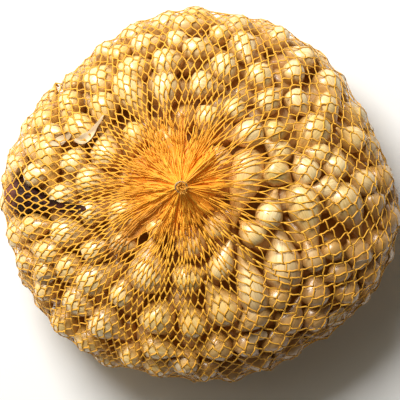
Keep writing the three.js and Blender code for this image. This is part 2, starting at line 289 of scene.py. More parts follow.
# %% The bulbs that show best, seen from above: place, width, length, and the way the tip points
DARK_BULB = (-97, 1, 20, 36, -10)
SHOWN_BULBS = [
    (24, 10, 18.5, 45, -98), (56, -6, 18, 41, -69), (45, -34, 21, 41, 93),
    (79, -5, 19.5, 38, -56), (27, -46, 16.5, 42, 107), (12, -57, 19, 30, 118),
    (-27, -37, 20.5, 35, 76), (-55, -42, 16.5, 31, 22), (-51, -68, 18.5, 26, -35),
    (-4, -65, 15, 25, 100), (-37, 56, 16.5, 38, -62), (-55, 65, 17.5, 23, 60),
    (-18, 72, 16, 19, 20), (33, 66, 15.5, 25, 50), (36, 52, 14, 19, 42),
    (60, 38, 18, 24, -130), (26, 35, 15.5, 20, 200), (72, 62, 16, 27, -78),
    (-56, 9, 17, 26, -8), (62, -49, 17, 24, 82), (-51, 81, 14, 17, 100),
    (-18, 58, 15, 27, -84), (-29, 84, 14, 22, 25), (43, 89, 14, 16, 150),
    (50, 68, 12, 16, 70), (40, 36, 13, 18, 20), (82, 33, 14, 22, 172),
    (73, 19, 15, 21, 60), (56, 15, 15, 19, 120), (40, 14, 14.5, 17, -30),
    (88, 9, 13.5, 18, 165), (80, -49, 14.5, 21, 90), (-81, 22, 14.5, 34, -80),
    (-85, -48, 14, 20, 150), (-23, -65, 18.5, 21, -60), (-22, -80, 13.5, 27, -6),
    (-39, -85, 14, 20, 200), (-75, -68, 17.5, 21, 200), (37, -7, 14.5, 24, 66),
    (12, -33, 13, 27, 65), (49, -64, 15, 24, 75), (71, -28, 11, 20, -35),
    (0, 80, 12.5, 25, 3), (2, 60, 15, 21, -15), (-6, 94, 12, 25, 4),
    (-83, -28, 13.5, 28, 184), (52, 51, 12.5, 17, -60), (18, 47, 13, 17, 70),
]
print("bulbs placed one by one:", 1 + len(SHOWN_BULBS))

# %% Sizes of the other bulbs, in millimetres
BULB_COUNT = 262
WIDEST_BULB = 19.5
NARROWEST_BULB = 11.5
LENGTH_LEAST = 1.12  # length of a bulb over its width
LENGTH_SPREAD = 0.4
DEEPEST_SUNK = 2
NECK_SHARE = 0.34  # the neck is felt as a ball this share of the length from the middle
NECK_REACH = 0.26  # radius of that ball, as a share of the width
TRIES = 24
MOUTH = np.array([-9.5, 6.0])  # the middle of the net's mouth, seen from above
MOUTH_BARE_RADIUS = 24
FOOT_BARE_RADIUS = 13


class Heap:
    """Bulbs as rows of arrays: centre, axis, out, width, length and how deep they are sunk."""

    def __init__(self):
        self.centre, self.axis, self.out = (np.zeros((0, 3)) for _ in range(3))
        self.width, self.length, self.sunk = (np.zeros(0) for _ in range(3))

    def add(self, centre, axis, out, width, length, sunk):
        self.centre = np.vstack([self.centre, centre])
        self.axis = np.vstack([self.axis, axis])
        self.out = np.vstack([self.out, out])
        self.width = np.append(self.width, width)
        self.length = np.append(self.length, length)
        self.sunk = np.append(self.sunk, sunk)

    def necks(self):
        return self.centre + self.axis * (NECK_SHARE * self.length)[:, None]


def laid(azimuth, polar, width, axis, sunk):
    """The centre, axis and way out of bulbs that lie just under the skin."""
    out = skin_ways(azimuth, polar)[2]
    axis = unit(axis - out * np.sum(axis * out, -1, keepdims=True))
    return skin_point(azimuth, polar) - out * (width / 2 + sunk), axis, out


# %% Draws and the gaps that they look for
seed = 41


def draw():
    global seed
    seed = (seed * 48271) % 2147483647
    return seed / 2147483647


def pressed_into(heap, centre, axis, width, length):
    """How far each tried bulb presses into the nearest one: belly and neck are felt as balls."""
    necks = centre + axis * NECK_SHARE * length
    worst = np.full(len(centre), -np.inf)
    for points, reach in ((centre, width / 2), (necks, NECK_REACH * width)):
        for others, theirs in ((heap.centre, heap.width / 2), (heap.necks(), NECK_REACH * heap.width)):
            apart = np.linalg.norm(points[:, None] - others[None], axis=-1)
            worst = np.maximum(worst, (reach + theirs[None] - apart).max(1))
    return worst


def is_bare(points):
    """Whether a place is kept free for the mouth or the foot of the net."""
    by_mouth = np.hypot(*(points[:, :2] - MOUTH).T) < MOUTH_BARE_RADIUS
    by_foot = np.hypot(*points[:, :2].T) < FOOT_BARE_RADIUS
    return np.where(points[:, 2] > WIDEST_HEIGHT, by_mouth, by_foot)


def tried_places(tries):
    """The draws for the places of one bulb: azimuth, polar and the turn of its axis."""
    draws = np.array([[draw() for _ in range(5)] for _ in range(tries)])
    azimuth = 2 * math.pi * draws[:, 0]
    height = 1 - 2 * draws[:, 1]
    flat = polar_at(np.sqrt(draws[:, 2]))
    flat = np.where(height > 0, flat, math.pi - flat)
    polar = np.where(draws[:, 3] < 0.5, np.arccos(height), flat)
    return azimuth, polar, math.pi / 2 + (draws[:, 4] - 0.5) * (1 + 5 * np.sin(polar))


def add_drawn(heap, width, length, sunk, barred=is_bare, tries=TRIES):
    """Adds a bulb in the widest gap of many tries, except where it is barred."""
    azimuth, polar, turn = tried_places(tries)
    round_way, up, _ = skin_ways(azimuth, polar)
    axis = round_way * np.cos(turn)[:, None] + up * np.sin(turn)[:, None]
    centre, axis, out = laid(azimuth, polar, width, axis, sunk)
    pressed = pressed_into(heap, centre, axis, width, length)
    pressed = np.where(barred(centre), np.inf, pressed)
    best = int(np.argmin(pressed))
    heap.add(centre[best], axis[best], out[best], width, length, sunk)


heap = Heap()
for x, y, width, length, heading in [DARK_BULB, *SHOWN_BULBS]:
    azimuth = math.atan2(y, x)
    polar = polar_at(math.hypot(x, y) / bag_radius(azimuth))
    way = np.array([*plan_way(math.radians(heading)), 0])
    heap.add(*laid(azimuth, polar, width, way, 0), width, length, 0)
shown = len(heap.width)
while len(heap.width) < BULB_COUNT:
    share = len(heap.width) / BULB_COUNT
    unevenness = 2 * draw() - 1
    width = WIDEST_BULB - (WIDEST_BULB - NARROWEST_BULB) * share + unevenness
    length = width * (LENGTH_LEAST + LENGTH_SPREAD * draw())
    add_drawn(heap, width, length, DEEPEST_SUNK * draw() * draw())
print("bulbs under the skin:", len(heap.width))

# %% [markdown]
# ### Settling
# Bulbs that overlap part a little, round after round, while the net holds them in. The dark bulb
# keeps its place, and the bulbs that show best give way only to it and to each other.

# %% Settle the heap
SETTLING_ROUNDS = 60
GIVE = 0.4  # share of an overlap that a bulb gives way by in one round
RETURN = 0.3  # and of the way back to the net


def settle(heap, shown):
    """Parts the bulbs that overlap. Those before the number shown feel only each other."""
    necks = heap.necks()
    belly, tip = heap.width / 2, NECK_REACH * heap.width
    for _ in range(SETTLING_ROUNDS):
        for i in range(1, len(heap.width)):
            felt = shown if i < shown else len(heap.width)
            pairs = [
                (heap.centre[i], belly[i], heap.centre[:felt], belly[:felt]),
                (heap.centre[i], belly[i], necks[:felt], tip[:felt]),
                (necks[i], tip[i], heap.centre[:felt], belly[:felt]),
                (necks[i], tip[i], necks[:felt], tip[:felt]),
            ]
            apart = np.stack([own - others for own, _, others, _ in pairs])
            far = np.linalg.norm(apart, axis=-1)
            far[:, i] = np.inf if i < felt else far[:, min(i, felt - 1)]
            reach = np.stack([own + others for _, own, _, others in pairs])
            pressed = reach - far
            most = pressed.argmax(0)
            rows = np.arange(felt)
            deep = pressed[most, rows]
            ways = apart[most, rows] / far[most, rows][:, None]
            give = np.where(rows == 0, 1, GIVE) * np.where(deep > 0, deep, 0)
            centre = heap.centre[i] + (ways * give[:, None]).sum(0)
            place = skin_place(centre)
            out = skin_ways(*place)[2]
            depth = np.dot(skin_point(*place) - centre, out)
            wanted = belly[i] + heap.sunk[i]
            heap.centre[i] = centre + out * (depth - wanted) * (1 if depth < wanted else RETURN)
            axis = heap.axis[i]
            heap.axis[i] = unit(axis - out * np.dot(axis, out))
            heap.out[i] = out
            necks[i] = heap.centre[i] + heap.axis[i] * NECK_SHARE * heap.length[i]


settle(heap, shown)
print("first drawn bulb settles at", heap.centre[shown].round(2), "mm")

# %% [markdown]
# ### The bulbs under the first layer
# Dark gaps between the bulbs show a little of those behind them. A second layer, drawn by the same
# rule but deeper, gives the gaps something to look at. What lies deeper still can't be seen. A few
# bulbs lie right under the mouth of the net, where the folds of the net leave no room for the others.

# %% The second layer
INNER_COUNT = 190
INNER_SUNK = 8.5
MOUTH_COUNT = 16
MOUTH_SUNK = 3.5
MOUTH_TRIES = 120
SUNK_SPREAD = 3
WIDTH_SPREAD = 5
outer_count = len(heap.width)


def far_from_mouth(points):
    """Whether a place is barred to the few bulbs that lie right under the mouth."""
    away = np.hypot(*(points[:, :2] - MOUTH).T)
    return (away > MOUTH_BARE_RADIUS) | (points[:, 2] < WIDEST_HEIGHT)


def nowhere(points):
    """Bars no place."""
    return np.zeros(len(points), bool)


def add_layer(count, narrowest, sunk, barred, tries):
    """Adds this many bulbs, at least so wide and so deep, in the gaps that are left."""
    for _ in range(count):
        width = narrowest + WIDTH_SPREAD * draw()
        length = width * (LENGTH_LEAST + LENGTH_SPREAD * draw())
        add_drawn(heap, width, length, sunk + SUNK_SPREAD * draw(), barred, tries)


add_layer(MOUTH_COUNT, 12, MOUTH_SUNK, far_from_mouth, MOUTH_TRIES)
add_layer(INNER_COUNT, 12.5, INNER_SUNK, nowhere, TRIES)
print("bulbs in all:", len(heap.width))

# %% [markdown]
# ## Modelling a bulb
# A small onion is turned like a vase: a ring of points at the root is extruded up ring by ring, and
# each ring is made wider or narrower, down to a point at the tip. Spinning a profile would do it too,
# but with rings each one can be pushed sideways, so that necks lean as they do on real bulbs. Six
# kinds are modelled at unit size and copied. A bulb that is copied hundreds of times has few faces,
# and smooth shading makes it round. The few bulbs that show best get finer kinds with a longer neck,
# more rings and a subdivision.

# %% Kinds of bulb: radius, height and sideways lean of each ring, from root to tip
KINDS = {
    "round": [
        (0.13, 0.012, 0), (0.43, 0.11, 0), (0.5, 0.38, 0), (0.41, 0.63, 0), (0.14, 0.83, 0.02),
    ],
    "drop": [
        (0.11, 0.01, 0), (0.41, 0.10, 0), (0.5, 0.34, 0.01), (0.36, 0.60, 0.03), (0.11, 0.82, 0.07),
    ],
    "plump": [
        (0.16, 0.02, 0), (0.46, 0.15, 0), (0.5, 0.42, 0.01), (0.36, 0.70, 0.02), (0.10, 0.85, 0),
    ],
    "slim": [
        (0.14, 0.01, 0.02), (0.43, 0.14, 0), (0.49, 0.36, 0), (0.33, 0.60, -0.02), (0.15, 0.78, -0.07),
    ],
    "leaning": [
        (0.12, 0.02, 0.04), (0.42, 0.12, 0.02), (0.5, 0.37, 0), (0.39, 0.61, -0.04), (0.13, 0.82, -0.13),
    ],
    "double": [
        (0.15, 0.01, -0.05), (0.45, 0.13, 0), (0.49, 0.4, 0.02), (0.34, 0.66, 0.08), (0.12, 0.84, 0.16),
    ],
}
FINE_KINDS = {
    "fine_drop": [
        (0.10, 0.0, 0), (0.35, 0.05, 0), (0.49, 0.17, 0), (0.52, 0.31, 0), (0.46, 0.45, 0.01),
        (0.32, 0.59, 0.03), (0.17, 0.72, 0.06), (0.09, 0.86, 0.08),
    ],
    "fine_leaning": [
        (0.12, 0.01, 0.03), (0.38, 0.06, 0.02), (0.5, 0.2, 0), (0.52, 0.33, 0), (0.44, 0.47, -0.02),
        (0.29, 0.61, -0.06), (0.15, 0.75, -0.11), (0.08, 0.88, -0.14),
    ],
    "fine_round": [
        (0.12, 0.0, 0), (0.4, 0.05, 0), (0.5, 0.18, 0), (0.52, 0.38, 0), (0.46, 0.56, 0),
        (0.32, 0.71, 0), (0.16, 0.83, 0.01), (0.08, 0.92, 0.02),
    ],
}
TIP_LEAN = {"drop": 0.1, "leaning": -0.2, "double": 0.22, "slim": -0.12}
print("kinds:", len(KINDS), "and fine ones:", len(FINE_KINDS))

# %% Model a bulb
BULB_SIDES = 12
ROOT_DEPTH = 0.012


def only(piece):
    """Deselects all and makes one piece the active one."""
    bpy.ops.object.select_all(action="DESELECT")
    piece.select_set(True)
    bpy.context.view_layer.objects.active = piece


def apply_modifier(piece, name, kind, **settings):
    """Adds a modifier with these settings to a piece and applies it."""
    only(piece)
    modifier = piece.modifiers.new(name, kind)
    for setting, value in settings.items():
        setattr(modifier, setting, value)
    bpy.ops.object.modifier_apply(modifier=modifier.name)


def model_bulb(name, rings, tip_lean):
    """A bulb of unit size, extruded from ring to ring and closed at tip and root."""
    bpy.ops.object.select_all(action="DESELECT")
    radius, height, lean = rings[0]
    bpy.ops.mesh.primitive_circle_add(
        vertices=BULB_SIDES, radius=radius, location=(lean, 0, height)
    )
    bulb = bpy.context.active_object
    bulb.name = name
    bpy.ops.object.transform_apply(location=True)
    bpy.ops.object.mode_set(mode="EDIT")
    bpy.ops.mesh.select_all(action="SELECT")
    for (was, low, left), (now, high, right) in zip(rings, rings[1:]):
        move = {"value": (right - left, 0, high - low)}
        bpy.ops.mesh.extrude_region_move(TRANSFORM_OT_translate=move)
        grow = now / was
        bpy.ops.transform.resize(value=(grow, grow, 1), center_override=(right, 0, high))
    move = {"value": (tip_lean - rings[-1][2], 0, 1 - rings[-1][1])}
    bpy.ops.mesh.extrude_region_move(TRANSFORM_OT_translate=move)
    bpy.ops.mesh.merge(type="CENTER")
    bpy.ops.mesh.select_all(action="DESELECT")
    bpy.ops.mesh.select_non_manifold()
    bpy.ops.mesh.extrude_region_move(TRANSFORM_OT_translate={"value": (0, 0, -ROOT_DEPTH)})
    bpy.ops.mesh.merge(type="CENTER")
    bpy.ops.mesh.select_all(action="SELECT")
    bpy.ops.mesh.normals_make_consistent(inside=False)
    bpy.ops.object.mode_set(mode="OBJECT")
    return bulb


print("points in a ring of a bulb:", BULB_SIDES)


# %% Every kind, with a map that goes round the bulb and along it
def shape_of(piece):
    """A piece's points, and its faces as lists of corners."""
    points = np.array([v.co for v in piece.data.vertices])
    return points, [list(p.vertices) for p in piece.data.polygons]


def wrapped(points, faces):
    """Where each corner of each face is round a bulb and along it, both from 0 to 1."""
    poles = (int(np.argmin(points[:, 2])), int(np.argmax(points[:, 2])))
    around = []
    for face in faces:
        ends = [i in poles for i in face]
        turns = [math.atan2(points[i, 1], points[i, 0]) / math.tau % 1 for i in face]
        sides = [t for t, end in zip(turns, ends) if not end]
        if max(sides) - min(sides) > 0.5:
            turns = [t + 1 if t < 0.5 else t for t in turns]
            sides = [t + 1 if t < 0.5 else t for t in sides]
        middle = sum(sides) / len(sides)
        along = [points[i, 2] for i in face]
        around += [(middle if end else t, z) for t, end, z in zip(turns, ends, along)]
    return np.array(around)


def modelled(name, rings, levels):
    """A kind as its points, its faces and its map."""
    bulb = model_bulb(name, rings, TIP_LEAN.get(name, rings[-1][2] + 0.02))
    if levels:
        apply_modifier(bulb, "smoother", "SUBSURF", levels=levels, render_levels=levels)
    points, faces = shape_of(bulb)
    bpy.data.objects.remove(bulb)
    return points, faces, wrapped(points, faces)


kinds = [modelled(name, rings, 0) for name, rings in KINDS.items()]
fine_kinds = [modelled(name, rings, 1) for name, rings in FINE_KINDS.items()]
print("faces on a bulb:", len(kinds[0][1]), "and on a fine one:", len(fine_kinds[0][1]))

# %% [markdown]
# ### From kinds to a heap
# Each place in the heap gets a kind, turned about its own axis and tilted a little. All copies are
# joined in two meshes, the outer bulbs and the inner ones. Each bulb carries a few numbers of its own,
# which the finish of the skin reads: how yellow it is, how green, how dry, how deep a place on it lies
# under its crown, which is painted as shade, how much painted shade falls on it at the lower right of
# the heap, away from the lamp, and how much painted orange light from the net falls on it near the
# mouth.

# %% Marks on the skins
def mesh_piece(name, points, faces, finish, marks=None):
    """A piece from points in millimetres and faces, with a number at each point for each mark."""
    mesh = bpy.data.meshes.new(name)
    mesh.from_pydata((np.asarray(points) * MM).tolist(), [], [list(f) for f in faces])
    for mark, values in (marks or {}).items():
        attribute = mesh.attributes.new(mark, "FLOAT", "POINT")
        attribute.data.foreach_set("value", np.asarray(values, np.float32))
    mesh.shade_smooth()
    mesh.materials.append(finish.material)
    piece = bpy.data.objects.new(name, mesh)
    bpy.context.scene.collection.objects.link(piece)
    return piece


def smooth_share(value, low, high):
    """0 up to the low value and 1 from the high one, with a smooth rise between them."""
    share = np.clip((value - low) / (high - low), 0, 1)
    return share * share * (3 - 2 * share)


GLOW_REACH = (-50, -22)  # mm from the mouth, with a minus sign because the glow falls off
LOWER_RIGHT_SHADE_REACH = (42, 72)  # mm from the middle towards the lower right


def glow_at(points):
    """1 by the mouth of the net and 0 where the net is open."""
    away = np.hypot(*(points[..., :2] - MOUTH).T)
    return np.where(points[..., 2] > WIDEST_HEIGHT, smooth_share(-away, *GLOW_REACH), 0)


def lower_right_shade_at(points):
    """1 at the lower right, the side of the heap away from the lamp, where the bulbs get painted shade.
    """
    return smooth_share(points[..., 0] * 0.71 - points[..., 1] * 0.71, *LOWER_RIGHT_SHADE_REACH)


print("glow 30 mm from the mouth:", smooth_share(-30, *GLOW_REACH).round(2))

# %% Joined meshes
BELLY_SHARE = 0.38  # how far up a bulb its middle is
SWELL = 1.05  # bulbs are soft, and are pressed flat where they touch
LOWEST_SKIN = 0.9  # the net lies between the bulbs and the ground
SLENDER = 1.38  # bulbs longer than this share of their width are drops and slim ones
chance = np.random.default_rng(20)


def placed_bulb(heap, i, side, out, up, side_way, out_way, axis):
    """The points of one bulb at its place, from how far each lies sideways, out and up its axis."""
    placed = heap.centre[i] + np.outer(side, side_way) + np.outer(out, out_way)
    return placed + np.outer((up - BELLY_SHARE) * heap.length[i], axis)


def copied_bulb(heap, i, points):
    """One bulb of a kind at its place in the heap, in millimetres."""
    spin = chance.uniform(0, math.tau)
    x = points[:, 0] * math.cos(spin) - points[:, 1] * math.sin(spin)
    y = points[:, 0] * math.sin(spin) + points[:, 1] * math.cos(spin)
    flat = 1 + chance.uniform(-0.05, 0.03)
    tilt = chance.normal(0, 0.10)
    axis = unit(heap.axis[i] + heap.out[i] * tilt)
    out = unit(heap.out[i] - axis * np.dot(axis, heap.out[i]))
    side = np.cross(axis, out)
    width = heap.width[i] * SWELL
    x, y = x * width / flat, y * width * flat
    laid_out = placed_bulb(heap, i, x, y, points[:, 2], side, out, axis)
    laid_out[:, 2] = np.maximum(laid_out[:, 2], LOWEST_SKIN)
    return laid_out


def joined_bulbs(which):
    """The points, faces, map and marks of these bulbs of the heap, in one mesh."""
    points, faces, around = [], [], []
    marks = {name: [] for name in ("tone", "green", "dry", "glow", "deep", "brown")}
    start = 0
    for i in which:
        slender = heap.length[i] / heap.width[i] > SLENDER
        if i < shown:
            kind = fine_kinds[int(chance.choice([0, 1] if slender else [2]))]
        else:
            kind = kinds[int(chance.choice([1, 3, 4] if slender else [0, 0, 2, 5, 4]))]
        bulb = copied_bulb(heap, i, kind[0])
        points.append(bulb)
        faces += [[c + start for c in face] for face in kind[1]]
        around.append(kind[2])
        start += len(bulb)
        own = {
            "tone": chance.uniform(0, 1),
            "green": max(0.0, chance.normal(0.0, 0.55)),
            "dry": chance.uniform(0, 1) ** 2,
        }
        for name, value in own.items():
            marks[name].append(np.full(len(bulb), value))
        marks["glow"].append(glow_at(bulb))
        marks["brown"].append(lower_right_shade_at(bulb))
        # How far each point lies under the crown of its bulb: the skin turns it into painted shade on
        # the sides.
        crown = heap.centre[i] + heap.out[i] * heap.width[i] / 2
        marks["deep"].append((crown - bulb) @ heap.out[i] / heap.width[i])
    marks = {name: np.concatenate(values) for name, values in marks.items()}
    return np.vstack(points), faces, np.vstack(around), marks


outer = joined_bulbs(range(1, outer_count))
inner = joined_bulbs(range(outer_count, len(heap.width)))
print("points in the outer bulbs:", len(outer[0]), "and in the inner ones:", len(inner[0]))

# %% [markdown]
# ## The skin of the onions
# Pale silvery skin, thin as paper, with fine veins from root to tip, a little green or straw colour
# from bulb to bulb, and brown at the root and neck. The veins follow the bulb, so they are drawn on
# its own map: going round once on a circle keeps the noise without a seam. The gloss is a thin coat
# over a rougher skin. Pale streaks along the skin are partly its own silvery streaks and partly
# painted highlight. Shade and light are painted too: golden brown on the sides of each bulb, darker at
# the lower right of the heap, and orange near the mouth. Some light comes through skins and net into
# the gaps, where rays would need many bounces to find their way, so the inner bulbs have a faint warm
# glow of their own.

# %% Onion skin
ROOT, NECK = 0.05, 0.80
WARM_DEPTHS = paint(206, 116, 36)  # light that has come through skins and net


def onion_finish(name, shade):
    """The skin of a layer of bulbs. Shade is how far it has turned to the brown of the gaps."""
    gloss = {"Coat Weight": 0.85, "Coat Roughness": 0.24, "Specular IOR Level": 0.5}
    lit_through = {"Emission Strength": shade * 0.13, "Emission Color": WARM_DEPTHS}
    finish = Finish(name, {**gloss, **lit_through})
    own_map = finish.node("ShaderNodeUVMap", {"uv_map": "bulb"})
    around = finish.node("ShaderNodeSeparateXYZ", {}, {0: own_map}, "X") * math.tau
    along = finish.node("ShaderNodeSeparateXYZ", {}, {0: own_map}, "Y")
    tone, green = finish.value("tone"), finish.value("green")
    dry, glow, deep = finish.value("dry"), finish.value("glow"), finish.value("deep")
    ring = {
        "X": around.math("COSINE", around) * 3.2 + tone * 37,
        "Y": around.math("SINE", around) * 3.2,
        "Z": along * 0.9 + green * 11,
    }
    ring = finish.node("ShaderNodeCombineXYZ", {}, ring)
    veins = 1 - finish.step(abs(finish.noise(ring, 2.4, 1.5) - 0.5), 0.0, 0.07)
    patches = finish.step(finish.noise(finish.place(), 130.0, 3.0), 0.38, 0.72)
    ends = finish.step(along, NECK, 1.0) + finish.step(along, ROOT, 0.0)
    body = finish.mix(tone, paint(249, 226, 172), paint(238, 202, 122))
    body = finish.mix(finish.step(green * patches, 0.1, 0.9) * 0.6, body, paint(176, 162, 82))
    body = finish.mix(patches * dry * 0.5, body, paint(214, 172, 100))
    body = finish.mix(veins * 0.3, body, paint(178, 134, 72))
    # Pale streaks along the skin: partly its own silvery streaks, partly painted highlight.
    streaks_and_painted_highlights = finish.noise(ring, 2.1, 1.0)
    body = finish.mix(finish.step(streaks_and_painted_highlights, 0.5, 0.72) * 0.28, body, paint(254, 242, 208))
    body = finish.mix(finish.step(streaks_and_painted_highlights, 0.46, 0.3) * 0.2, body, paint(196, 156, 78))
    body = finish.mix(ends * 0.6, body, paint(176, 126, 60))
    # Painted shade: the sides of each bulb, away from its crown, turn golden brown.
    body = finish.mix(finish.step(deep, 0.05, 0.5) * 0.75, body, paint(200, 142, 46))
    # Painted shade on the lower right of the heap, the side away from the lamp.
    body = finish.mix(finish.value("brown") * 0.8, body, paint(164, 116, 56))
    # Painted light: near the mouth the skins take the orange of light that has come through the net.
    body = finish.mix(glow * 0.6, body, paint(240, 172, 62))
    finish.feed("Base Color", finish.mix(shade, body, paint(170, 104, 32)))
    finish.feed("Roughness", 0.32 + patches * 0.12 + ends * 0.2)
    finish.bump(veins * -0.3 + streaks_and_painted_highlights * 0.7, 0.3, 0.0006)
    return finish


def bulb_piece(name, parts, finish):
    """A piece of joined bulbs, with the map that the veins of its skin follow."""
    points, faces, around, marks = parts
    piece = mesh_piece(name, points, faces, finish, marks)
    own_map = piece.data.uv_layers.new(name="bulb")
    own_map.data.foreach_set("uv", around.astype(np.float32).ravel())
    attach(piece, "root")
    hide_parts("netted_bulbs")


onion_skin = onion_finish("onion_skin", 0.0)
bulb_piece("outer_bulbs", outer, onion_skin)
bulb_piece("inner_bulbs", inner, onion_finish("onion_skin_in_shade", 0.4))
print("nodes in the skin:", len(onion_skin.tree.nodes))

# %% [markdown]
# ### The shaded middle
# Nothing in the middle of the heap shows but darkness, yet light must not pass right through. A ball
# whose points are moved to well under the skin stops it, like the core of the part.

# %% Shaded middle
MIDDLE_DEPTH = 19
MIDDLE_LOWEST = 6
bpy.ops.object.select_all(action="DESELECT")
bpy.ops.mesh.primitive_uv_sphere_add(segments=48, ring_count=24, radius=1)
shaded_middle = bpy.context.active_object
shaded_middle.name = "shaded_middle"
ball = np.array([v.co for v in shaded_middle.data.vertices])
azimuth, polar = np.arctan2(ball[:, 1], ball[:, 0]), np.arccos(np.clip(ball[:, 2], -1, 1))
sunken = skin_point(azimuth, polar) - skin_ways(azimuth, polar)[2] * MIDDLE_DEPTH
sunken[:, 2] = np.maximum(sunken[:, 2], MIDDLE_LOWEST)
shaded_middle.data.vertices.foreach_set("co", (sunken * MM).ravel())
shaded_middle.data.shade_smooth()
# A faint warm emission is painted light that has come through skins and net.
dull_with_painted_glow = {"Roughness": 0.9, "Emission Strength": 0.05, "Emission Color": WARM_DEPTHS}
shade_finish = Finish("shade", dull_with_painted_glow)
murk = shade_finish.noise(shade_finish.place(), 160.0)
shade_finish.feed("Base Color", shade_finish.mix(murk, paint(106, 62, 24), paint(152, 96, 40)))
shaded_middle.data.materials.append(shade_finish.material)
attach(shaded_middle, "root")
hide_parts("netted_bulbs")
print("width of the middle in mm:", np.ptp(sunken[:, 0]).round(1))

# %% [markdown]
# ## The withered bulb
# One bulb at the left has gone bad: it has shrunk, its skin is nearly black with wine red patches and
# a pink one at its left end, and it has wrinkled along its length. It is one of a kind and shows
# well, so it gets more rings than the others, a subdivision, and wrinkles that are pushed in point
# by point.

# %% Withered bulb
WITHERED_RINGS = [
    (0.10, 0.0, 0), (0.31, 0.03, 0), (0.44, 0.12, 0), (0.5, 0.26, 0), (0.48, 0.40, 0.01),
    (0.39, 0.55, 0.02), (0.26, 0.68, 0.03), (0.15, 0.80, 0.02), (0.09, 0.91, 0.0),
]
withered_bulb = model_bulb("withered_bulb", WITHERED_RINGS, -0.02)
apply_modifier(withered_bulb, "smoother", "SUBSURF", levels=2, render_levels=2)
points = np.array([v.co for v in withered_bulb.data.vertices])
around = np.arctan2(points[:, 1], points[:, 0])
along = points[:, 2]
folds = np.cos(9 * around + 2.5 * np.sin(5 * along)) + 0.6 * np.cos(15 * around - 7 * along)
dents = np.sin(17 * along + 3 * around) * np.sin(2 * around + 1)
waist = np.clip(np.sin(math.pi * np.clip(along, 0, 1)), 0, 1)
points[:, :2] *= (1 + waist * (0.045 * folds + 0.04 * dents) - 0.02)[:, None]
axis, out = heap.axis[0], heap.out[0]
x, y = points[:, :2].T * heap.width[0]
placed = placed_bulb(heap, 0, x, y, along, np.cross(axis, out), out, axis)
withered_bulb.data.vertices.foreach_set("co", (placed * MM).ravel())
withered_bulb.data.shade_smooth()
withered_points, withered_faces = placed, shape_of(withered_bulb)[1]
print("points in the withered bulb:", len(points))

# %% Withered skin
LEFT_END = (-0.093, -0.1)  # metres: the pink patch grows between these places
withered_skin = Finish("withered_skin", {"Specular IOR Level": 0.2})
spot = withered_skin.place()
blotches = withered_skin.step(withered_skin.noise(spot, 95.0, 3.0), 0.56, 0.72)
grain = withered_skin.noise(spot, 420.0, 4.0)
left = withered_skin.node("ShaderNodeSeparateXYZ", {}, {0: spot}, "X")
left_end = withered_skin.step(left, *LEFT_END)
body = withered_skin.mix(grain, paint(18, 6, 5), paint(56, 22, 16))
body = withered_skin.mix(blotches * 0.4, body, paint(150, 84, 72))
body = withered_skin.mix(left_end * (0.35 + blotches * 0.45), body, paint(192, 120, 104))
withered_skin.feed("Base Color", body)
withered_skin.feed("Roughness", 0.42 + grain * 0.3)
withered_skin.bump(grain, 0.5, 0.0008)
withered_bulb.data.materials.clear()
withered_bulb.data.materials.append(withered_skin.material)
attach(withered_bulb, "root")
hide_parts("dark_bulb")
print("nodes in the withered skin:", len(withered_skin.tree.nodes))

# %% [markdown]
# ## Loose husks
# Dry outer skins come loose in the bag and lie between the bulbs and the net. A husk is a curled
# flake: a grid of points is let down on the bulbs along the way out of the heap, its edges are left
# standing a little, and it gets the thickness of paper. One has come out through the net at the left.
# A dark one, off the withered bulb, runs on from it to the right.

# %% What the net and the husks lie on
def ground_of(parts):
    """A tree of faces that rays can be sent at, from lists of (points, faces)."""
    points, faces, start = [], [], 0
    for own_points, own_faces in parts:
        points.append(np.asarray(own_points))
        faces += [[c + start for c in face] for face in own_faces]
        start += len(own_points)
    return BVHTree.FromPolygons(np.vstack(points).tolist(), faces)


RAY_REACH = 14.0  # how far above the skin a ray starts, in mm
RAY_DEEP = 9.0  # how far under the skin it is still felt


def heights_over(ground, points, ways):
    """How far along each way from each point the ground lies, and -RAY_DEEP where there is none."""
    found = np.full(len(points), -RAY_DEEP)
    for i, (point, way) in enumerate(zip(points, ways)):
        start = Vector(point + way * RAY_REACH)
        hit = ground.ray_cast(start, Vector(-way), RAY_REACH + RAY_DEEP)
        if hit[3] is not None:
            found[i] = RAY_REACH - hit[3]
    return found


bulbs = [outer[:2], inner[:2], (withered_points, withered_faces)]
ground = ground_of(bulbs)
print("the highest bulb rises to", outer[0][:, 2].max().round(1), "mm")

# %% Husks: place, width, length, heading of each flake as seen from above, and how much it curls
HUSKS = [
    (-72, 31, 4.5, 12, 30, 0.5), (72, -62, 7, 12, 40, 0.6), (84, -34, 6, 10, 30, 0.6),
    (30, -72, 6, 11, 15, 0.5), (-12, -88, 5, 10, 160, 0.5), (60, 78, 5, 9, 120, 0.6),
    (90, 28, 5, 10, 80, 0.6), (-80, -42, 5, 9, 20, 0.6),
]
HUSK_GRID = (9, 6)
HUSK_THICKNESS = 0.14
DEEPEST_DENT = -3.5  # how far a flake sinks between bulbs
RIM_SHARE = 0.985  # flakes stay this far inside the rim


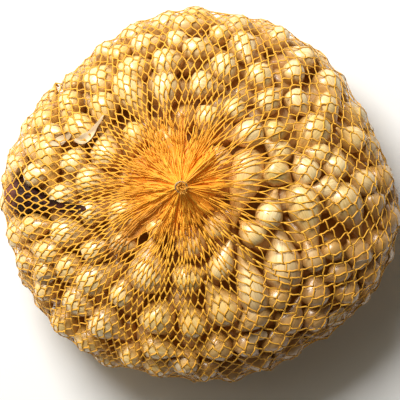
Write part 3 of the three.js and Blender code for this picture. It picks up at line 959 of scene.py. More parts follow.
def laid_flake(flat, u, v, curl, lift):
    """A flake laid on the heap, from its outline in plan and its own u and v from -1 to 1."""
    azimuth = np.arctan2(flat[:, 1], flat[:, 0])
    share = np.hypot(flat[:, 0], flat[:, 1]) / bag_radius(azimuth)
    polar = polar_at(np.minimum(share, RIM_SHARE))
    base, out = skin_point(azimuth, polar), skin_ways(azimuth, polar)[2]
    grid = np.maximum(heights_over(ground, base, out), DEEPEST_DENT).reshape(HUSK_GRID)
    for _ in range(2):  # paper bridges the dents
        padded = np.pad(grid, 1, mode="edge")
        near = (padded[:-2, 1:-1] + padded[2:, 1:-1] + padded[1:-1, :-2] + padded[1:-1, 2:]) / 4
        grid = np.maximum(grid, near)
    edges = curl * (1.5 * np.abs(v) ** 3 * (v > 0) + 0.9 * np.abs(u) ** 3)
    crease = 0.12 * np.sin(7 * u + 3 * v + flat[0, 0]) + 0.08 * np.sin(9 * v - 4 * u)
    return base + out * (grid.ravel() + lift + edges + crease)[:, None]


def husk(x, y, width, length, heading, curl):
    """The points of one flake under the net, in millimetres."""
    lengthways = plan_way(math.radians(heading))
    sideways = np.array([-lengthways[1], lengthways[0]])
    spans = (np.linspace(-1, 1, n) for n in HUSK_GRID)
    u, v = (g.ravel() for g in np.meshgrid(*spans, indexing="ij"))
    taper = (1 - 0.55 * u * u) * (1 + 0.16 * np.sin(5 * u + x))
    ragged = 1 + 0.10 * np.sin(9 * v + y) * u
    flat = np.array([x, y]) + np.outer(u * length / 2 * ragged, lengthways)
    flat = flat + np.outer(v * width / 2 * taper, sideways)
    return laid_flake(flat, u, v, curl, 0.25)


husks = [husk(*place) for place in HUSKS]
print("husks under the net:", len(husks))

# %% Flakes that follow a line of their own: its places in mm, and the half width of the flake there
TORN_LINE = [
    (-49.4, 43.4, 0.4), (-51, 41.2, 1.0), (-52.8, 38.8, 1.0), (-54.2, 36.4, 1.5), (-55.8, 34, 1.7),
    (-57.6, 31.8, 2.5), (-59.8, 30.4, 2.6), (-62.2, 30, 1.9), (-65, 30.6, 0.6),
]
DARK_LINE = [
    (-78, -1.5, 2.0), (-75.5, -3, 2.8), (-73, -4, 2.6), (-70.5, -4.4, 3.0), (-68, -4.2, 2.4),
    (-65.5, -4.6, 2.8), (-63, -5.2, 2.2), (-60.5, -5.0, 1.8), (-58, -4.4, 0.9),
]


def flake_along(line, lift, fold):
    """The points of a flake along a line, lifted off the bulbs and folded up along its middle."""
    line = np.array(line)
    ahead = unit(np.gradient(line[:, :2], axis=0))
    sideways = np.stack([-ahead[:, 1], ahead[:, 0]], -1)
    v = np.linspace(-1, 1, HUSK_GRID[1])
    torn = 1 + 0.25 * np.sin(5 * v + 2.3 * np.arange(len(line))[:, None])
    flat = line[:, None, :2] + sideways[:, None] * (line[:, 2, None] * v * torn)[..., None]
    u, v = (g.ravel() for g in np.meshgrid(np.linspace(-1, 1, len(line)), v, indexing="ij"))
    points = laid_flake(flat.reshape(-1, 2), u, v, 0.8, lift)
    points[:, 2] += fold * np.clip(-u, 0, 1) * (1 - v * v)
    return points


def grid_faces(start):
    """The faces of one flake whose points start at this number."""
    rows, columns = HUSK_GRID
    corners = [start + r * columns + c for r in range(rows - 1) for c in range(columns - 1)]
    return [[c, c + columns, c + columns + 1, c + 1] for c in corners]


flakes = husks + [flake_along(TORN_LINE, 1.3, 1.6)]
husk_points = np.vstack(flakes)
husk_faces = [face for k in range(len(flakes)) for face in grid_faces(k * len(flakes[0]))]
under_the_net = len(HUSKS) * len(grid_faces(0))
print("faces in the flakes:", len(husk_faces), "of which under the net:", under_the_net)

# %% Husk skin
husk_skin = Finish("husk", {"Specular IOR Level": 0.35})
spot = husk_skin.place()
fibre = husk_skin.noise(spot, 210.0, 4.0)
blotch = husk_skin.step(husk_skin.noise(spot, 95.0, 2.0), 0.4, 0.62)
body = husk_skin.mix(fibre * 0.6, paint(222, 204, 172), paint(206, 174, 128))
body = husk_skin.mix(blotch * 0.6, body, paint(150, 120, 82))
husk_skin.feed("Base Color", body)
husk_skin.feed("Roughness", 0.45 + fibre * 0.25)
husk_skin.bump(fibre, 0.15, 0.0004)


def flake_piece(name, points, faces, finish):
    """A piece of one or more flakes, with the thickness of paper."""
    piece = mesh_piece(name, points, faces, finish)
    apply_modifier(piece, "paper", "SOLIDIFY", thickness=HUSK_THICKNESS * MM, offset=1)
    apply_modifier(piece, "finer", "SUBSURF", levels=1, render_levels=1)
    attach(piece, "root")
    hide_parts("netted_bulbs")
    return piece


loose_husks = flake_piece("loose_husks", husk_points, husk_faces, husk_skin)
dark_points, dark_faces = flake_along(DARK_LINE, 0.3, 0), grid_faces(0)
flake_piece("dark_flake", dark_points, dark_faces, withered_skin)
print("faces in the husks:", len(loose_husks.data.polygons))

# %% [markdown]
# ## The net
# The net is a tube of knitted yarn, and its cells are hexagons: rows of zigzag joined by short upright
# stitches. It could be a flat picture of a net on a smooth skin, but a real net stands off the
# bulbs, bridges the gaps between them and casts its own small shadows. So every stitch is laid
# out: first as a regular pattern over the skin of the heap, from the foot up to the neck, and then it
# is pulled tight over the bulbs.

# %% The way of the net from the foot to the neck, in millimetres
WALES = 96
COLUMNS = 2 * WALES
UPRIGHT = 0.7  # length of an upright stitch
SLANT = 5.5  # length of a slanting yarn
FOOT_RADIUS = 8
NECK_RADIUS = 1.9
SAMPLE_AZIMUTH = 0.9  # where the length of the net is measured
LEAST_RISE = 0.4  # keeps a row of wide cells from lying flat, in square mm

base_polar = np.linspace(math.pi - 0.005, math.pi / 2, 600)
top_polar = np.linspace(math.pi / 2, 0.0005, 600)[1:]
meridian_polar = np.concatenate([base_polar, top_polar])
meridian = skin_point(SAMPLE_AZIMUTH, meridian_polar)
meridian_radius = np.hypot(meridian[:, 0], meridian[:, 1])
way_along = np.concatenate([[0], np.cumsum(np.linalg.norm(np.diff(meridian, axis=0), axis=1))])
first = way_along[np.argmax(meridian_radius > FOOT_RADIUS)]
last = way_along[len(meridian) - 1 - np.argmax(meridian_radius[::-1] > NECK_RADIUS)]


def half_cell(along):
    """Half the width of a cell, where the way along the net is this long."""
    return math.pi * np.interp(along, way_along, meridian_radius) / WALES


def slant_rise(half):
    """How far a slanting yarn rises in a cell of this half width."""
    return np.sqrt(np.maximum(SLANT**2 - half**2, LEAST_RISE))


row_places = [first]
while row_places[-1] < last:
    row_places.append(row_places[-1] + UPRIGHT + slant_rise(half_cell(row_places[-1])))
row_places = np.array(row_places)
row_places = first + (row_places - first) * (last - first) / (row_places[-1] - first)
ROWS = len(row_places)
row_half = half_cell(row_places)
row_rise = slant_rise(row_half) / 2
print("rows:", ROWS, "columns:", COLUMNS, "half cell at the rim in mm:", row_half.max().round(2))

# %% [markdown]
# ### Folds round the mouth
# Near the mouth the same yarn has to pass through an ever smaller ring, so it gathers in pleats. A few
# deep valleys run between the pleats. The yarn slides sideways off a valley, which leaves it smooth.

# %% Valleys and pleats
# heading seen from the mouth in degrees, half width and depth in mm, and how far out it runs
VALLEYS = [
    (-137, 4.2, 1.5, 48), (89, 1.8, 1.7, 42), (107, 1.9, 1.2, 38), (62, 1.3, 1.8, 24),
    (-100, 1.3, 1.6, 22), (8, 1.1, 1.2, 18), (-35, 1.2, 1.4, 24), (168, 1.3, 1.3, 24),
]
WIDEST_VALLEY = math.radians(7.5)
PLEATS = 19
PLEATS_REACH = 62  # how far from the mouth the pleats draw the yarn together
PLEAT_DRAW = 0.6


def pleat_phase(turn):
    """Where in its pleat each heading is: the pleats are of uneven width."""
    return PLEATS * turn + 1.3 * np.sin(3 * turn) + 0.8 * np.sin(7 * turn + 1)


def turned_from(heading, turn):
    """The angle from a valley's heading in degrees to another in radians, from -pi to pi."""
    return (heading - math.radians(turn) + math.pi) % math.tau - math.pi


def valley_offset(heading, away, turn, half):
    """How far a place is to the side of a valley, in half widths, and that half width in radians."""
    width = np.minimum(half / np.maximum(away, 1), WIDEST_VALLEY)
    return turned_from(heading, turn) / width, width


def valley_share(heading, away):
    """How deep each place lies in the valleys, in mm, and how far its yarn slides in radians."""
    deep, slide = 0 * away, 0 * away
    for turn, half, depth, reach in VALLEYS:
        offset, width = valley_offset(heading, away, turn, half)
        along = np.clip((reach - away) / (0.4 * reach), 0, 1) * np.clip(away / 7, 0, 1)
        deep = np.maximum(deep, depth * np.exp(-(offset**2)) * along)
        slide = slide + width * np.tanh(4 * offset) * np.exp(-((offset / 2.4) ** 2)) * along
    return deep, slide


print("a valley 20 mm from the mouth is", valley_share(math.radians(89), 20)[0].round(2), "mm deep")

# %% [markdown]
# ### Wide and narrow cells
# The net isn't pulled evenly. On the right it is stretched sideways, so its cells are wide and its
# rows close together, and on the other sides the cells are narrow and long.

# %% Widths of the cells: heading in degrees, and how wide the cells are there
CELL_WIDTHS = [
    (-90, 0.76), (-66, 1.15), (-42, 1.5), (20, 1.5), (48, 1.25), (75, 0.9), (110, 0.8),
    (150, 0.8), (188, 0.74), (232, 0.74), (270, 0.76),
]
ROWS_SHIFTED = [(0, 0), (30, 36), (105, 0)]  # mm from the neck, and shift for a net twice as wide
LEAST_SHIFT = 0.14
fine_turn = np.radians(np.arange(361.0) - 90)
turns, widths = np.transpose(CELL_WIDTHS)
cell_width = np.interp(fine_turn, np.radians(turns), widths)
cells_passed = np.concatenate([[0], np.cumsum(2 / (cell_width[1:] + cell_width[:-1]))])
cells_passed = cells_passed * math.tau / cells_passed[-1]


def stretched(turn):
    """Where the columns of the net lie when it is stretched unevenly round the bag."""
    return np.interp(turn % math.tau, cells_passed, fine_turn)


def rows_shifted(turn, along):
    """Rows come closer on the open side of the bag, where the net is stretched sideways."""
    wide = np.maximum(np.interp(stretched(turn), fine_turn, cell_width) - 1, 0) + LEAST_SHIFT
    return along - wide * np.interp(last - along, *zip(*ROWS_SHIFTED))


print("columns start at", np.degrees(stretched(0)).round(1), "degrees")


# %% Where the yarn lies
def net_place(turn, along):
    """Where the yarn lies before it is pulled tight: a point on the skin and the way out there."""
    polar = np.interp(along, way_along, meridian_polar)
    on_top = polar < math.pi / 2
    share = np.where(on_top, np.sin(polar) ** (2 / TOP_FULLNESS), 1)
    away = share * BAG_RADIUS
    near = np.clip((PLEATS_REACH - away) / 40, 0, 1)
    turn = turn + near * PLEAT_DRAW / PLEATS * np.sin(pleat_phase(turn))
    turn = turn + valley_share(turn, away)[1] * on_top
    rim = bag_radius(turn)
    x = MOUTH[0] * (1 - share) + share * rim * np.cos(turn)
    y = MOUTH[1] * (1 - share) + share * rim * np.sin(turn)
    azimuth = np.arctan2(y, x)
    polar_on_top = polar_at(np.minimum(np.hypot(x, y) / bag_radius(azimuth), 0.9999))
    azimuth = np.where(on_top, azimuth, turn)
    polar = np.where(on_top, polar_on_top, polar)
    return skin_point(azimuth, polar), skin_ways(azimuth, polar)[2]


def uneven(rows, columns, phase):
    """Slow unevenness of the knitting, from -1 to 1, that closes on itself round the bag."""
    turn = columns * math.tau / COLUMNS
    waves = np.sin(5 * turn + 0.31 * rows + phase) + np.sin(9 * turn - 0.47 * rows + 2 * phase)
    waves += np.sin(16 * turn + 0.83 * rows + 3 * phase) + np.sin(27 * turn - 1.1 * rows + phase)
    return waves / 4


print("top of the way of the net in mm:", net_place(0.0, last)[0].round(1))

# %% [markdown]
# ### Knitting
# The stitches of a row go up and down in turn. A real net is a little uneven everywhere: rows and
# wales wander, single stitches are off their place, and near the mouth yarns lie in bundles and at
# different heights. Each of these is a small shift that is added to the regular place of a stitch.

# %% Knit
WANDER = 0.7  # how far rows wander, in mm
JITTER = 0.3  # how far single stitches are off their place
STAGGER = 1.3  # how far yarns near the mouth are off in height, in mm
BUNDLE = 0.42  # how far wales draw together near the mouth, in stitches
ASKEW = 1.6  # how far wales lean over, in stitches


def knit(shift, phase, rows):
    """The rows of the stitches, whether each is raised, their points and the ways out there."""
    row = np.repeat(np.arange(ROWS)[rows, None], COLUMNS, axis=1)
    column = np.repeat(np.arange(COLUMNS)[None], len(row), axis=0)
    raised = np.where((row + column) % 2 == 0, 1, -1)
    own_half = row_half[row]
    open_net = np.clip(own_half / 1.6, 0.15, 1)
    closed = 1 - np.clip((own_half - 0.9) / 1.1, 0, 1)
    hand = np.random.default_rng(int(100 * phase) + 7)
    jitter = hand.normal(0, JITTER, (2, *row.shape)) * (1 - 0.85 * closed)
    bundle = hand.uniform(-BUNDLE, BUNDLE, (2, COLUMNS))[:, column]
    bundle = bundle[0] * np.cos(row / 7) + bundle[1] * np.sin(row / 7)
    stagger = np.convolve(np.tile(hand.normal(0, 1, COLUMNS), 3), np.hanning(9), "same")
    stagger = stagger[COLUMNS : 2 * COLUMNS][column]
    along = row_places[row] + raised * row_rise[row]
    along = along + (WANDER * uneven(row, column, phase) + jitter[0]) * open_net
    along = along + STAGGER * stagger * closed
    askew = ASKEW * np.sin(2 * column * math.tau / COLUMNS + 0.16 * row + 1) * open_net
    slide = 1.2 * uneven(0.3 * row, column, phase + 2) + 0.8 * jitter[1] + 2 * askew
    turn = (column + shift + 0.5 * slide + bundle * closed) * math.tau / COLUMNS
    along = rows_shifted(turn, along)
    turn = stretched(turn)
    along = np.clip(along, first, last)
    along = np.where(row == 0, first, np.where(row == ROWS - 1, last, along))
    return row, raised, *net_place(turn, along)


row, raised, net_base, net_out = knit(0, 1.0, slice(None))
print("stitches:", row.size)

# %% [markdown]
# ### Pulling the net tight
# Each stitch is drawn towards the middle of the three that it is tied to, but it can't go into the
# bulbs. Rays sent in from outside say how high the bulbs stand. After a few rounds the net lies on the
# crowns of the bulbs and still sags a little between them, as it does on the real bag. Close to the
# mouth the gathered yarn is stiff, and it flares up to the neck like the bell of a horn, so there its
# height is given.

# %% How low the yarn can lie
YARN_CLEARANCE = 0.34
GROUND_CLEARANCE = 0.42
ground = ground_of([*bulbs, (husk_points, husk_faces[:under_the_net])])


def lowest_yarn(base, out):
    """How far over the skin each stitch has to stay, to clear what it lies on."""
    found = heights_over(ground, base.reshape(-1, 3), out.reshape(-1, 3))
    return found.reshape(base.shape[:2]) + YARN_CLEARANCE


lowest = lowest_yarn(net_base, net_out)
print("share of stitches over a bulb:", np.mean(lowest > YARN_CLEARANCE - RAY_DEEP).round(2))

# %% Pull tight
# the flare of the gathered yarn: mm from the middle of the mouth, and height
FLARE = [(0, 94.4), (1.9, 93.6), (2.5, 91.4), (3.8, 88.9), (6, 87.0), (9, 85.9), (15, 84.9)]
HELD_WITHIN = 12.0
RIPPLE = 0.8  # how far the pleats stand up and dip
DEEPEST_SAG = -2.2  # where the net starts between the bulbs
FOOT_LEAST = 1.4  # the first row keeps clear of the foot
TIGHT_ROUNDS = 9


def from_mouth(points):
    """How far each point is from the middle of the mouth, seen from above, and its heading."""
    plan = points[..., :2] - MOUTH
    return np.hypot(plan[..., 0], plan[..., 1]), np.arctan2(plan[..., 1], plan[..., 0])


def tighten(base, out, lowest, raised, sunk, rounds):
    """The points of the net once it is tight. The gathered yarn is sunk under the flare by so much."""
    away, heading = from_mouth(base)
    on_top = base[..., 2] > WIDEST_HEIGHT
    held = on_top & (away < HELD_WITHIN)
    flare = np.interp(away, *zip(*FLARE)) - base[..., 2]
    flare = flare - sunk * np.clip((away - NECK_RADIUS) / 4, 0, 1)
    height = np.where(held, flare, np.maximum(lowest, DEEPEST_SAG))
    for _ in range(rounds):
        points = base + out * height[..., None]
        points[..., 2] = np.maximum(points[..., 2], GROUND_CLEARANCE)
        beside = (np.roll(points, 1, axis=1) + np.roll(points, -1, axis=1)) / 2
        above = np.vstack([points[1:], points[-1:]])
        below = np.vstack([points[:1], points[:-1]])
        tied = np.where(raised[..., None] > 0, above, below)
        pulled = np.sum(((beside + tied) / 2 - base) * out, -1)
        height = np.where(held, flare, np.maximum(lowest, pulled))
        height[0] = np.maximum(lowest[0], FOOT_LEAST)
    pleat = -RIPPLE * np.cos(pleat_phase(heading))
    pleat = pleat * np.clip((40 - away) / 22, 0, 1) * np.clip((away - 3) / 6, 0, 1)
    folded = height + (pleat - valley_share(heading, away)[0]) * on_top
    height = np.where(held, folded, np.maximum(np.minimum(lowest, height), folded))
    points = base + out * height[..., None]
    points[..., 2] = np.maximum(points[..., 2], GROUND_CLEARANCE)
    return points


net_points = tighten(net_base, net_out, lowest, raised, 0.0, TIGHT_ROUNDS)
print("lowest and highest stitch in mm:", np.quantile(net_points[..., 2], [0, 1]).round(2))

# %% [markdown]
# ### Yarn
# A yarn of the net is a flat ribbon of twisted plastic, a little under a millimetre wide and thinner
# where the net is gathered. Each one is a closed tube with four sides that bends twice, like an S, as
# yarn does where two of them part, and so that it can lie over a bulb. Curves with a bevel would give
# the same look with many more faces.


# %% Yarns from stitch to stitch
def yarns_of(row, raised):
    """The pairs of stitches that a yarn joins: slants along a row, and uprights to the next row."""
    order = np.arange(row.size).reshape(row.shape)
    slants = np.stack([order, np.roll(order, -1, axis=1)], -1).reshape(-1, 2)
    rising = np.stack([order[:-1], order[1:]], -1)[raised[:-1] > 0]
    return np.vstack([slants, rising])


def tucked_in(points, pairs):
    """Whether a yarn crosses a valley, where it is tucked away under the folds."""
    starts, ends = (points.reshape(-1, 3)[pairs[:, k]] for k in (0, 1))
    away = np.minimum(from_mouth(starts)[0], from_mouth(ends)[0])
    crossing = np.zeros(len(pairs), bool)
    for turn, half, _, reach in VALLEYS:
        sides = [valley_offset(from_mouth(p)[1], away, turn, half)[0] for p in (starts, ends)]
        near = (np.abs(sides[0]) < 3) & (np.abs(sides[1]) < 3) & (away < 0.85 * reach)
        crossing |= near & (sides[0] * sides[1] < 0)
    return crossing & (starts[:, 2] > WIDEST_HEIGHT)


def cleared(ground, points, out):
    """Points on yarns, raised to clear the bulbs where they have to be."""
    high = heights_over(ground, points, out)
    lift = np.clip(high + YARN_CLEARANCE, 0, 2.5)
    lift = np.where(high > -RAY_DEEP, lift, 0)
    return points + out * lift[:, None]


print("joins between stitches:", len(yarns_of(row, raised)))

# %% Tubes of yarn
JOINT = 0.14  # how far a yarn runs on into a stitch
YARN_HALF_WIDTHS = [(0, 0.23), (12, 0.28), (45, 0.37), (85, 0.42)]  # mm from the mouth, half width
YARN_FLATNESS = 0.5


def tubes(paths, out, half_width, half_thick):
    """Closed four-sided tubes along paths of equal length, flat side out: points and faces."""
    count, stops = paths.shape[:2]
    ahead = unit(np.gradient(paths, axis=1) + 1e-9)
    paths = paths.copy()
    paths[:, 0] -= ahead[:, 0] * JOINT
    paths[:, -1] += ahead[:, -1] * JOINT
    side = unit(np.cross(ahead, out[:, None]) + 1e-9)
    rise = np.cross(side, ahead) * half_thick[:, None, None]
    side = side * half_width[:, None, None]
    ring = np.stack([paths + side, paths + rise, paths - side, paths - rise], axis=2)
    start = (np.arange(count) * stops * 4)[:, None]
    faces = []
    for s in range(stops - 1):
        for k in range(4):
            a, b = 4 * s + k, 4 * s + (k + 1) % 4
            faces.append(start + [a, b, b + 4, a + 4])
    faces.append(start + [3, 2, 1, 0])
    top = 4 * (stops - 1)
    faces.append(start + [top, top + 1, top + 2, top + 3])
    return ring.reshape(-1, 3), np.stack(faces, 1).reshape(-1, 4)


BENDS = [(0.34, 0.22), (0.66, 0.78)]  # share of the way up and across at each bend of a yarn


def yarn_tubes(points, out, pairs, ground):
    """The tubes of all yarns between the given stitches. A slanting yarn is bent like an S."""
    flat, ways = points.reshape(-1, 3), out.reshape(-1, 3)
    starts, ends = flat[pairs[:, 0]], flat[pairs[:, 1]]
    way = unit(ways[pairs[:, 0]] + ways[pairs[:, 1]])
    up = unit(np.gradient(points, axis=0)).reshape(-1, 3)
    up = unit(up[pairs[:, 0]] + up[pairs[:, 1]])
    upward = up * np.sum((ends - starts) * up, -1, keepdims=True)
    across = ends - starts - upward
    bends = [cleared(ground, starts + upward * u + across * a, way) for u, a in BENDS]
    width = np.interp(from_mouth((starts + ends) / 2)[0], *zip(*YARN_HALF_WIDTHS))
    width = width * np.random.default_rng(3).uniform(0.82, 1.12, len(pairs))
    return tubes(np.stack([starts, *bends, ends], 1), way, width, width * YARN_FLATNESS)


pairs = yarns_of(row, raised)
pairs = pairs[~tucked_in(net_points, pairs)]
print("yarns:", len(pairs))

# %% [markdown]
# ### The plastic of the net
# The plastic is a warm yellow. At the mouth, where many yarns lie over each other, light passes from
# yarn to yarn: it is painted in as a deeper orange, and the shade there is orange too: a faint glow
# stands for it. The smooth fold at the lower left is its shaded side, painted browner. Where a place
# counts as gathered or as part of that fold is written on the points of the net, as the marks were on
# the bulbs.


# %% Net plastic
def net_finish(name, far, near, deep):
    """Plastic of one colour far from the mouth and one near it, where the light through many yarns is
    painted, streaked with a deeper one.
    """
    finish = Finish(name, {"Specular IOR Level": 0.3, "Emission Strength": 0.1})
    spot = finish.place()
    gather = finish.value("gather")
    streak = finish.noise(spot, 75.0, 2.0)
    fine = finish.noise(spot, 900.0, 2.0)
    # Near the mouth the colour turns deeper orange: painted light that has passed through many yarns.
    colour = finish.mix(gather, far, near)
    colour = finish.mix(finish.step(streak, 0.35, 0.75) * 0.35, colour, deep)
    # Painted shade: the smooth fold at the lower left is its shaded side.
    colour = finish.mix(finish.value("fold") * 0.75, colour, paint(178, 108, 38))
    finish.feed("Base Color", finish.mix(fine * 0.25, colour, paint(250, 196, 80)))
    finish.feed("Emission Color", finish.mix(gather, paint(0, 0, 0), paint(236, 152, 40)))
    finish.feed("Roughness", 0.42 + fine * 0.2)
    finish.bump(fine, 0.4, 0.0003)
    return finish


GATHERED_WITHIN = 52
FOLD_WITHIN = 50


def net_piece(name, points, faces, finish):
    """A piece of the net, with marks for how gathered it is and for the smooth fold, which is painted in
    shade.
    """
    away, heading = from_mouth(points)
    gather = np.clip((GATHERED_WITHIN - away) / 36, 0, 1) * (points[..., 2] > WIDEST_HEIGHT)
    offset = valley_offset(heading, away, *VALLEYS[0][:2])[0]
    fold = np.exp(-((offset * 0.9) ** 4)) * np.clip((away - 6) / 6, 0, 1) * (away < FOLD_WITHIN)
    piece = mesh_piece(name, points, faces, finish, {"gather": gather, "fold": fold})
    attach(piece, "root")
    return piece


net_yellow = net_finish("net_yellow", paint(231, 175, 60), paint(242, 175, 52), paint(218, 142, 40))
print("nodes in the plastic:", len(net_yellow.tree.nodes))

# %% The net in three bands, each from a share of the way along it to the next
row_of = row.ravel()[pairs].min(1)
row_away = row_places / last
bands = {"net_base": (0, 0.42), "net_flank": (0.42, 0.70), "net_top": (0.70, 2)}
for name, (low, high) in bands.items():
    here = (row_away[row_of] >= low) & (row_away[row_of] < high)
    piece = net_piece(name, *yarn_tubes(net_points, net_out, pairs[here], ground), net_yellow)
    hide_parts("netted_bulbs")
    print(name, "has", 2 * len(piece.data.polygons), "triangles")

# %% [markdown]
# ## The gathered mouth
# Round the mouth the net lies in folds, several layers deep, so hardly anything shows through. A second
# layer of net lies under the first, turned by half a cell. Under both a pleated lining stands for
# the layers that can't be told apart. It follows the net a little lower, and it reaches out along the
# valleys.

# %% Second layer of net
UNDER = 1.1  # how far the second layer lies under the first
UNDER_RADIUS = 36  # how wide its lowest row is
UNDER_ROUNDS = 120
UNDER_REACH = 28
LONGEST_WAY, LONGER = 2.2, 5  # it reaches out furthest at this heading in radians, by this many mm
row_polar = np.interp(row_places, way_along, meridian_polar)
row_radius = BAG_RADIUS * np.sin(row_polar) ** (2 / TOP_FULLNESS)
upper_rows = slice(int(np.argmax((row_places > last / 2) & (row_radius < UNDER_RADIUS))), ROWS)
under_row, under_raised, under_base, under_out = knit(0.5, 4.0, upper_rows)
under_low = lowest_yarn(under_base, under_out)
under_points = tighten(under_base, under_out, under_low, under_raised, UNDER, UNDER_ROUNDS)
under_points[..., 2] -= UNDER * 0.6
under_pairs = yarns_of(under_row, under_raised)
under_away = from_mouth(under_points)[0].ravel()[under_pairs].max(1)
wale = under_pairs[:, 0] % COLUMNS
wale_way = stretched(wale * math.tau / COLUMNS)
ragged = 4 * np.sin(7 * wale_way) + 4 * np.sin(2.4 * wale)
reach = UNDER_REACH + LONGER * np.cos(wale_way - LONGEST_WAY) + ragged
under_pairs = under_pairs[(under_away < reach) & ~tucked_in(under_points, under_pairs)]
net_amber = net_finish("net_amber", paint(232, 162, 52), paint(238, 158, 38), paint(206, 122, 28))
under_yarns = yarn_tubes(under_points, under_out, under_pairs, ground)
under_net = net_piece("under_net", *under_yarns, net_amber)
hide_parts("gathered_mouth")
print("rows in the second layer:", len(under_row))

# %% [markdown]
# ### The lining
# The lining is a round sheet of points. A ray is sent down on the net at each place of it, and the
# lining follows a little lower, pleated, but it stays over the crowns of the bulbs.

# %% Lining of the folds
LINING_RINGS = 16
LINING_SIDES = 240
LINING_EDGE = 22
LINING_NECK = 1.8
LINING_LIES = 8  # from here on it lies on the bulbs
LINING_CLEARANCE = 0.12
LINING_THICKNESS = 0.3
SENT_FROM = 120  # height that rays are sent down from
OPEN_TOP = 92  # height of the lining in the open neck
DOWN = Vector((0, 0, -1))


def lining_edge(heading):
    """How far out the lining reaches: ragged, longer at the upper left and along the valleys."""
    edge = LINING_EDGE + LONGER * np.cos(heading - LONGEST_WAY)
    edge = edge + 1.8 * np.sin(7 * heading + 1) + 1.2 * np.sin(17 * heading)
    for turn, half, _, reach in VALLEYS:
        offset = turned_from(heading, turn) * 0.62 * reach / half / 1.5
        edge = np.maximum(edge, reach * 0.9 * np.exp(-(offset**2)))
    return edge


def tube_faces(rows, columns):
    """The faces between rows of points that run round and close on themselves."""
    faces = []
    for low in (row * columns for row in rows):
        for a, b in zip(range(columns), [*range(1, columns), 0]):
            faces.append([low + a, low + b, low + columns + b, low + columns + a])
    return faces


upper_net = tube_faces(range(ROWS // 2, ROWS - 1), COLUMNS)
net_tree = ground_of([(net_points.reshape(-1, 3), upper_net)])
heading = np.arange(LINING_SIDES) * math.tau / LINING_SIDES
lining = []
for ring in range(LINING_RINGS):
    share = ring / (LINING_RINGS - 1)
    away = LINING_NECK + (lining_edge(heading) - LINING_NECK) * share**1.3
    for turn, out in zip(heading, away):
        x, y = MOUTH + out * plan_way(turn)
        hit = net_tree.ray_cast(Vector((x, y, SENT_FROM)), DOWN)
        top = SENT_FROM - hit[3] if hit[3] is not None else OPEN_TOP
        sunk = 0.75 + 1.1 * min(1, out / 22) + 0.35 * math.sin(38 * turn + 3 * out / 9)
        height = top - sunk * min(1, 0.25 + out / 8)
        bulb = ground.ray_cast(Vector((x, y, height + 6)), DOWN)[0]
        if bulb is not None and out > LINING_LIES:
            height = max(height, bulb.z + LINING_CLEARANCE)
        lining.append((x, y, height))
lining_faces = [face[::-1] for face in tube_faces(range(LINING_RINGS - 1), LINING_SIDES)]
net_deep = net_finish("net_deep", paint(228, 154, 56), paint(234, 150, 40), paint(206, 122, 34))
gathered_folds = net_piece("gathered_folds", np.array(lining), lining_faces, net_deep)
apply_modifier(gathered_folds, "wall", "SOLIDIFY", thickness=LINING_THICKNESS * MM, offset=-1)
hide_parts("gathered_mouth")
print("faces in the lining:", len(gathered_folds.data.polygons))

# %% [markdown]
# ### Neck and tuft
# All yarns run up through the clip and end in a ragged tuft where the net was cut. A few dozen thin
# ribbons stand for them: straight through the clip, then bent outwards, each cut at its own height.

# %% Neck and tuft
TUFT_YARNS = 96
CLIP_LOWEST, CLIP_HEIGHT = 93.6, 4.2
TUFT_HEIGHT = 101.6
TUFT_FOOT = 92.6
TUFT_RADIUS = 1.75
TUFT_UNEVEN = 3.4  # how much shorter the shortest yarn is
TUFT_LEAN = np.array([0.8, -1.0])
hair = np.random.default_rng(12)
paths, ways = [], []
for i in range(TUFT_YARNS):
    turn = hair.uniform(0, math.tau)
    inner_radius = TUFT_RADIUS * math.sqrt(hair.uniform(0.02, 1))
    spread = inner_radius * hair.uniform(1.3, 2.0) + hair.uniform(0, 0.5)
    top = TUFT_HEIGHT - hair.uniform(0, TUFT_UNEVEN)
    lean = hair.normal(0, 0.55, 2)
    stops = []
    for share in (0, 0.3, 0.55, 0.8, 1):
        height = TUFT_FOOT + (top - TUFT_FOOT) * share
        free = np.clip((height - CLIP_LOWEST - CLIP_HEIGHT + 0.4) / 4, 0, 1)
        out = inner_radius + (spread - inner_radius) * free
        twist = turn + 0.25 * share + 0.5 * free * math.sin(7 * i)
        plan = MOUTH + out * plan_way(twist)
        stops.append([*(plan + (lean + TUFT_LEAN) * free**2), height])
    paths.append(stops)
    ways.append([*plan_way(turn), 0.1])
paths, ways = np.array(paths), np.array(ways)
half_widths = hair.uniform(0.22, 0.36, TUFT_YARNS)
tuft_points, tuft_faces = tubes(paths, ways, half_widths, half_widths * 0.6)
net_golden = net_finish("net_golden", paint(214, 158, 62), paint(206, 146, 52), paint(140, 92, 34))
cut_tuft = net_piece("cut_tuft", tuft_points, tuft_faces, net_golden)
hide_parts("gathered_mouth")
print("yarns in the tuft:", TUFT_YARNS)

# %% [markdown]
# ## The clip
# A strip of soft metal is bent round the neck and pressed shut. Where its two ends lie one over the
# other doesn't show, so a closed ring stands for it: a ring of points that is extruded up and given a
# wall, with a groove pressed round it.

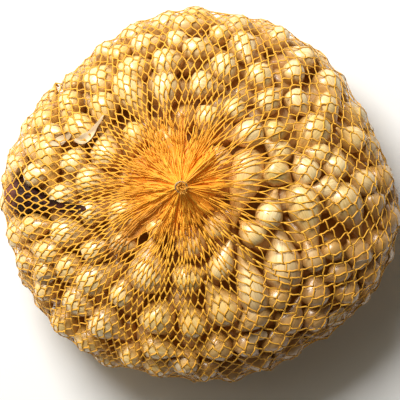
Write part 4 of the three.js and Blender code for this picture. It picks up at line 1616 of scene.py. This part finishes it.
# %% Clip
CLIP_OVAL, CLIP_INNER = 1.12, 2.3
CLIP_SIDES = 48
# each step up the clip in mm, and how much wider or narrower the ring gets
CLIP_STEPS = [
    (0.35, 1.05), (0.55, 1.03), (0.7, 0.965), (0.8, 1.0), (0.7, 1.035), (0.6, 0.97), (0.5, 0.955),
]
CLIP_WALL, CLIP_EDGE = 0.6, 0.12
centre = (*(MOUTH * MM), CLIP_LOWEST * MM)
bpy.ops.object.select_all(action="DESELECT")
bpy.ops.mesh.primitive_circle_add(vertices=CLIP_SIDES, radius=CLIP_INNER * MM, location=centre)
crimped_clip = bpy.context.active_object
crimped_clip.name = "crimped_clip"
bpy.ops.object.transform_apply(location=True)
bpy.ops.object.mode_set(mode="EDIT")
bpy.ops.mesh.select_all(action="SELECT")
for rise, grow in CLIP_STEPS:
    bpy.ops.mesh.extrude_region_move(TRANSFORM_OT_translate={"value": (0, 0, rise * MM)})
    bpy.ops.transform.resize(value=(grow, grow, 1), center_override=centre)
bpy.ops.mesh.select_all(action="SELECT")
bpy.ops.transform.resize(value=(CLIP_OVAL, 1, 1), center_override=centre)
bpy.ops.mesh.normals_make_consistent(inside=False)
bpy.ops.object.mode_set(mode="OBJECT")
apply_modifier(crimped_clip, "wall", "SOLIDIFY", thickness=CLIP_WALL * MM, offset=1)
apply_modifier(crimped_clip, "soft_edges", "BEVEL", width=CLIP_EDGE * MM, segments=2)
crimped_clip.data.shade_smooth()
print("faces on the clip:", len(crimped_clip.data.polygons))

# %% Clip metal
clip_metal = Finish("clip_metal", {"Metallic": 1.0})
scratch = clip_metal.noise(clip_metal.place(), 700.0, 4.0)
clip_metal.feed("Base Color", clip_metal.mix(scratch, paint(140, 134, 120), paint(196, 188, 170)))
clip_metal.feed("Roughness", 0.28 + scratch * 0.25)
clip_metal.bump(scratch, 0.3, 0.0002)
crimped_clip.data.materials.append(clip_metal.material)
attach(crimped_clip, "root")
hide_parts("neck_clip")
print("nodes in the metal:", len(clip_metal.tree.nodes))
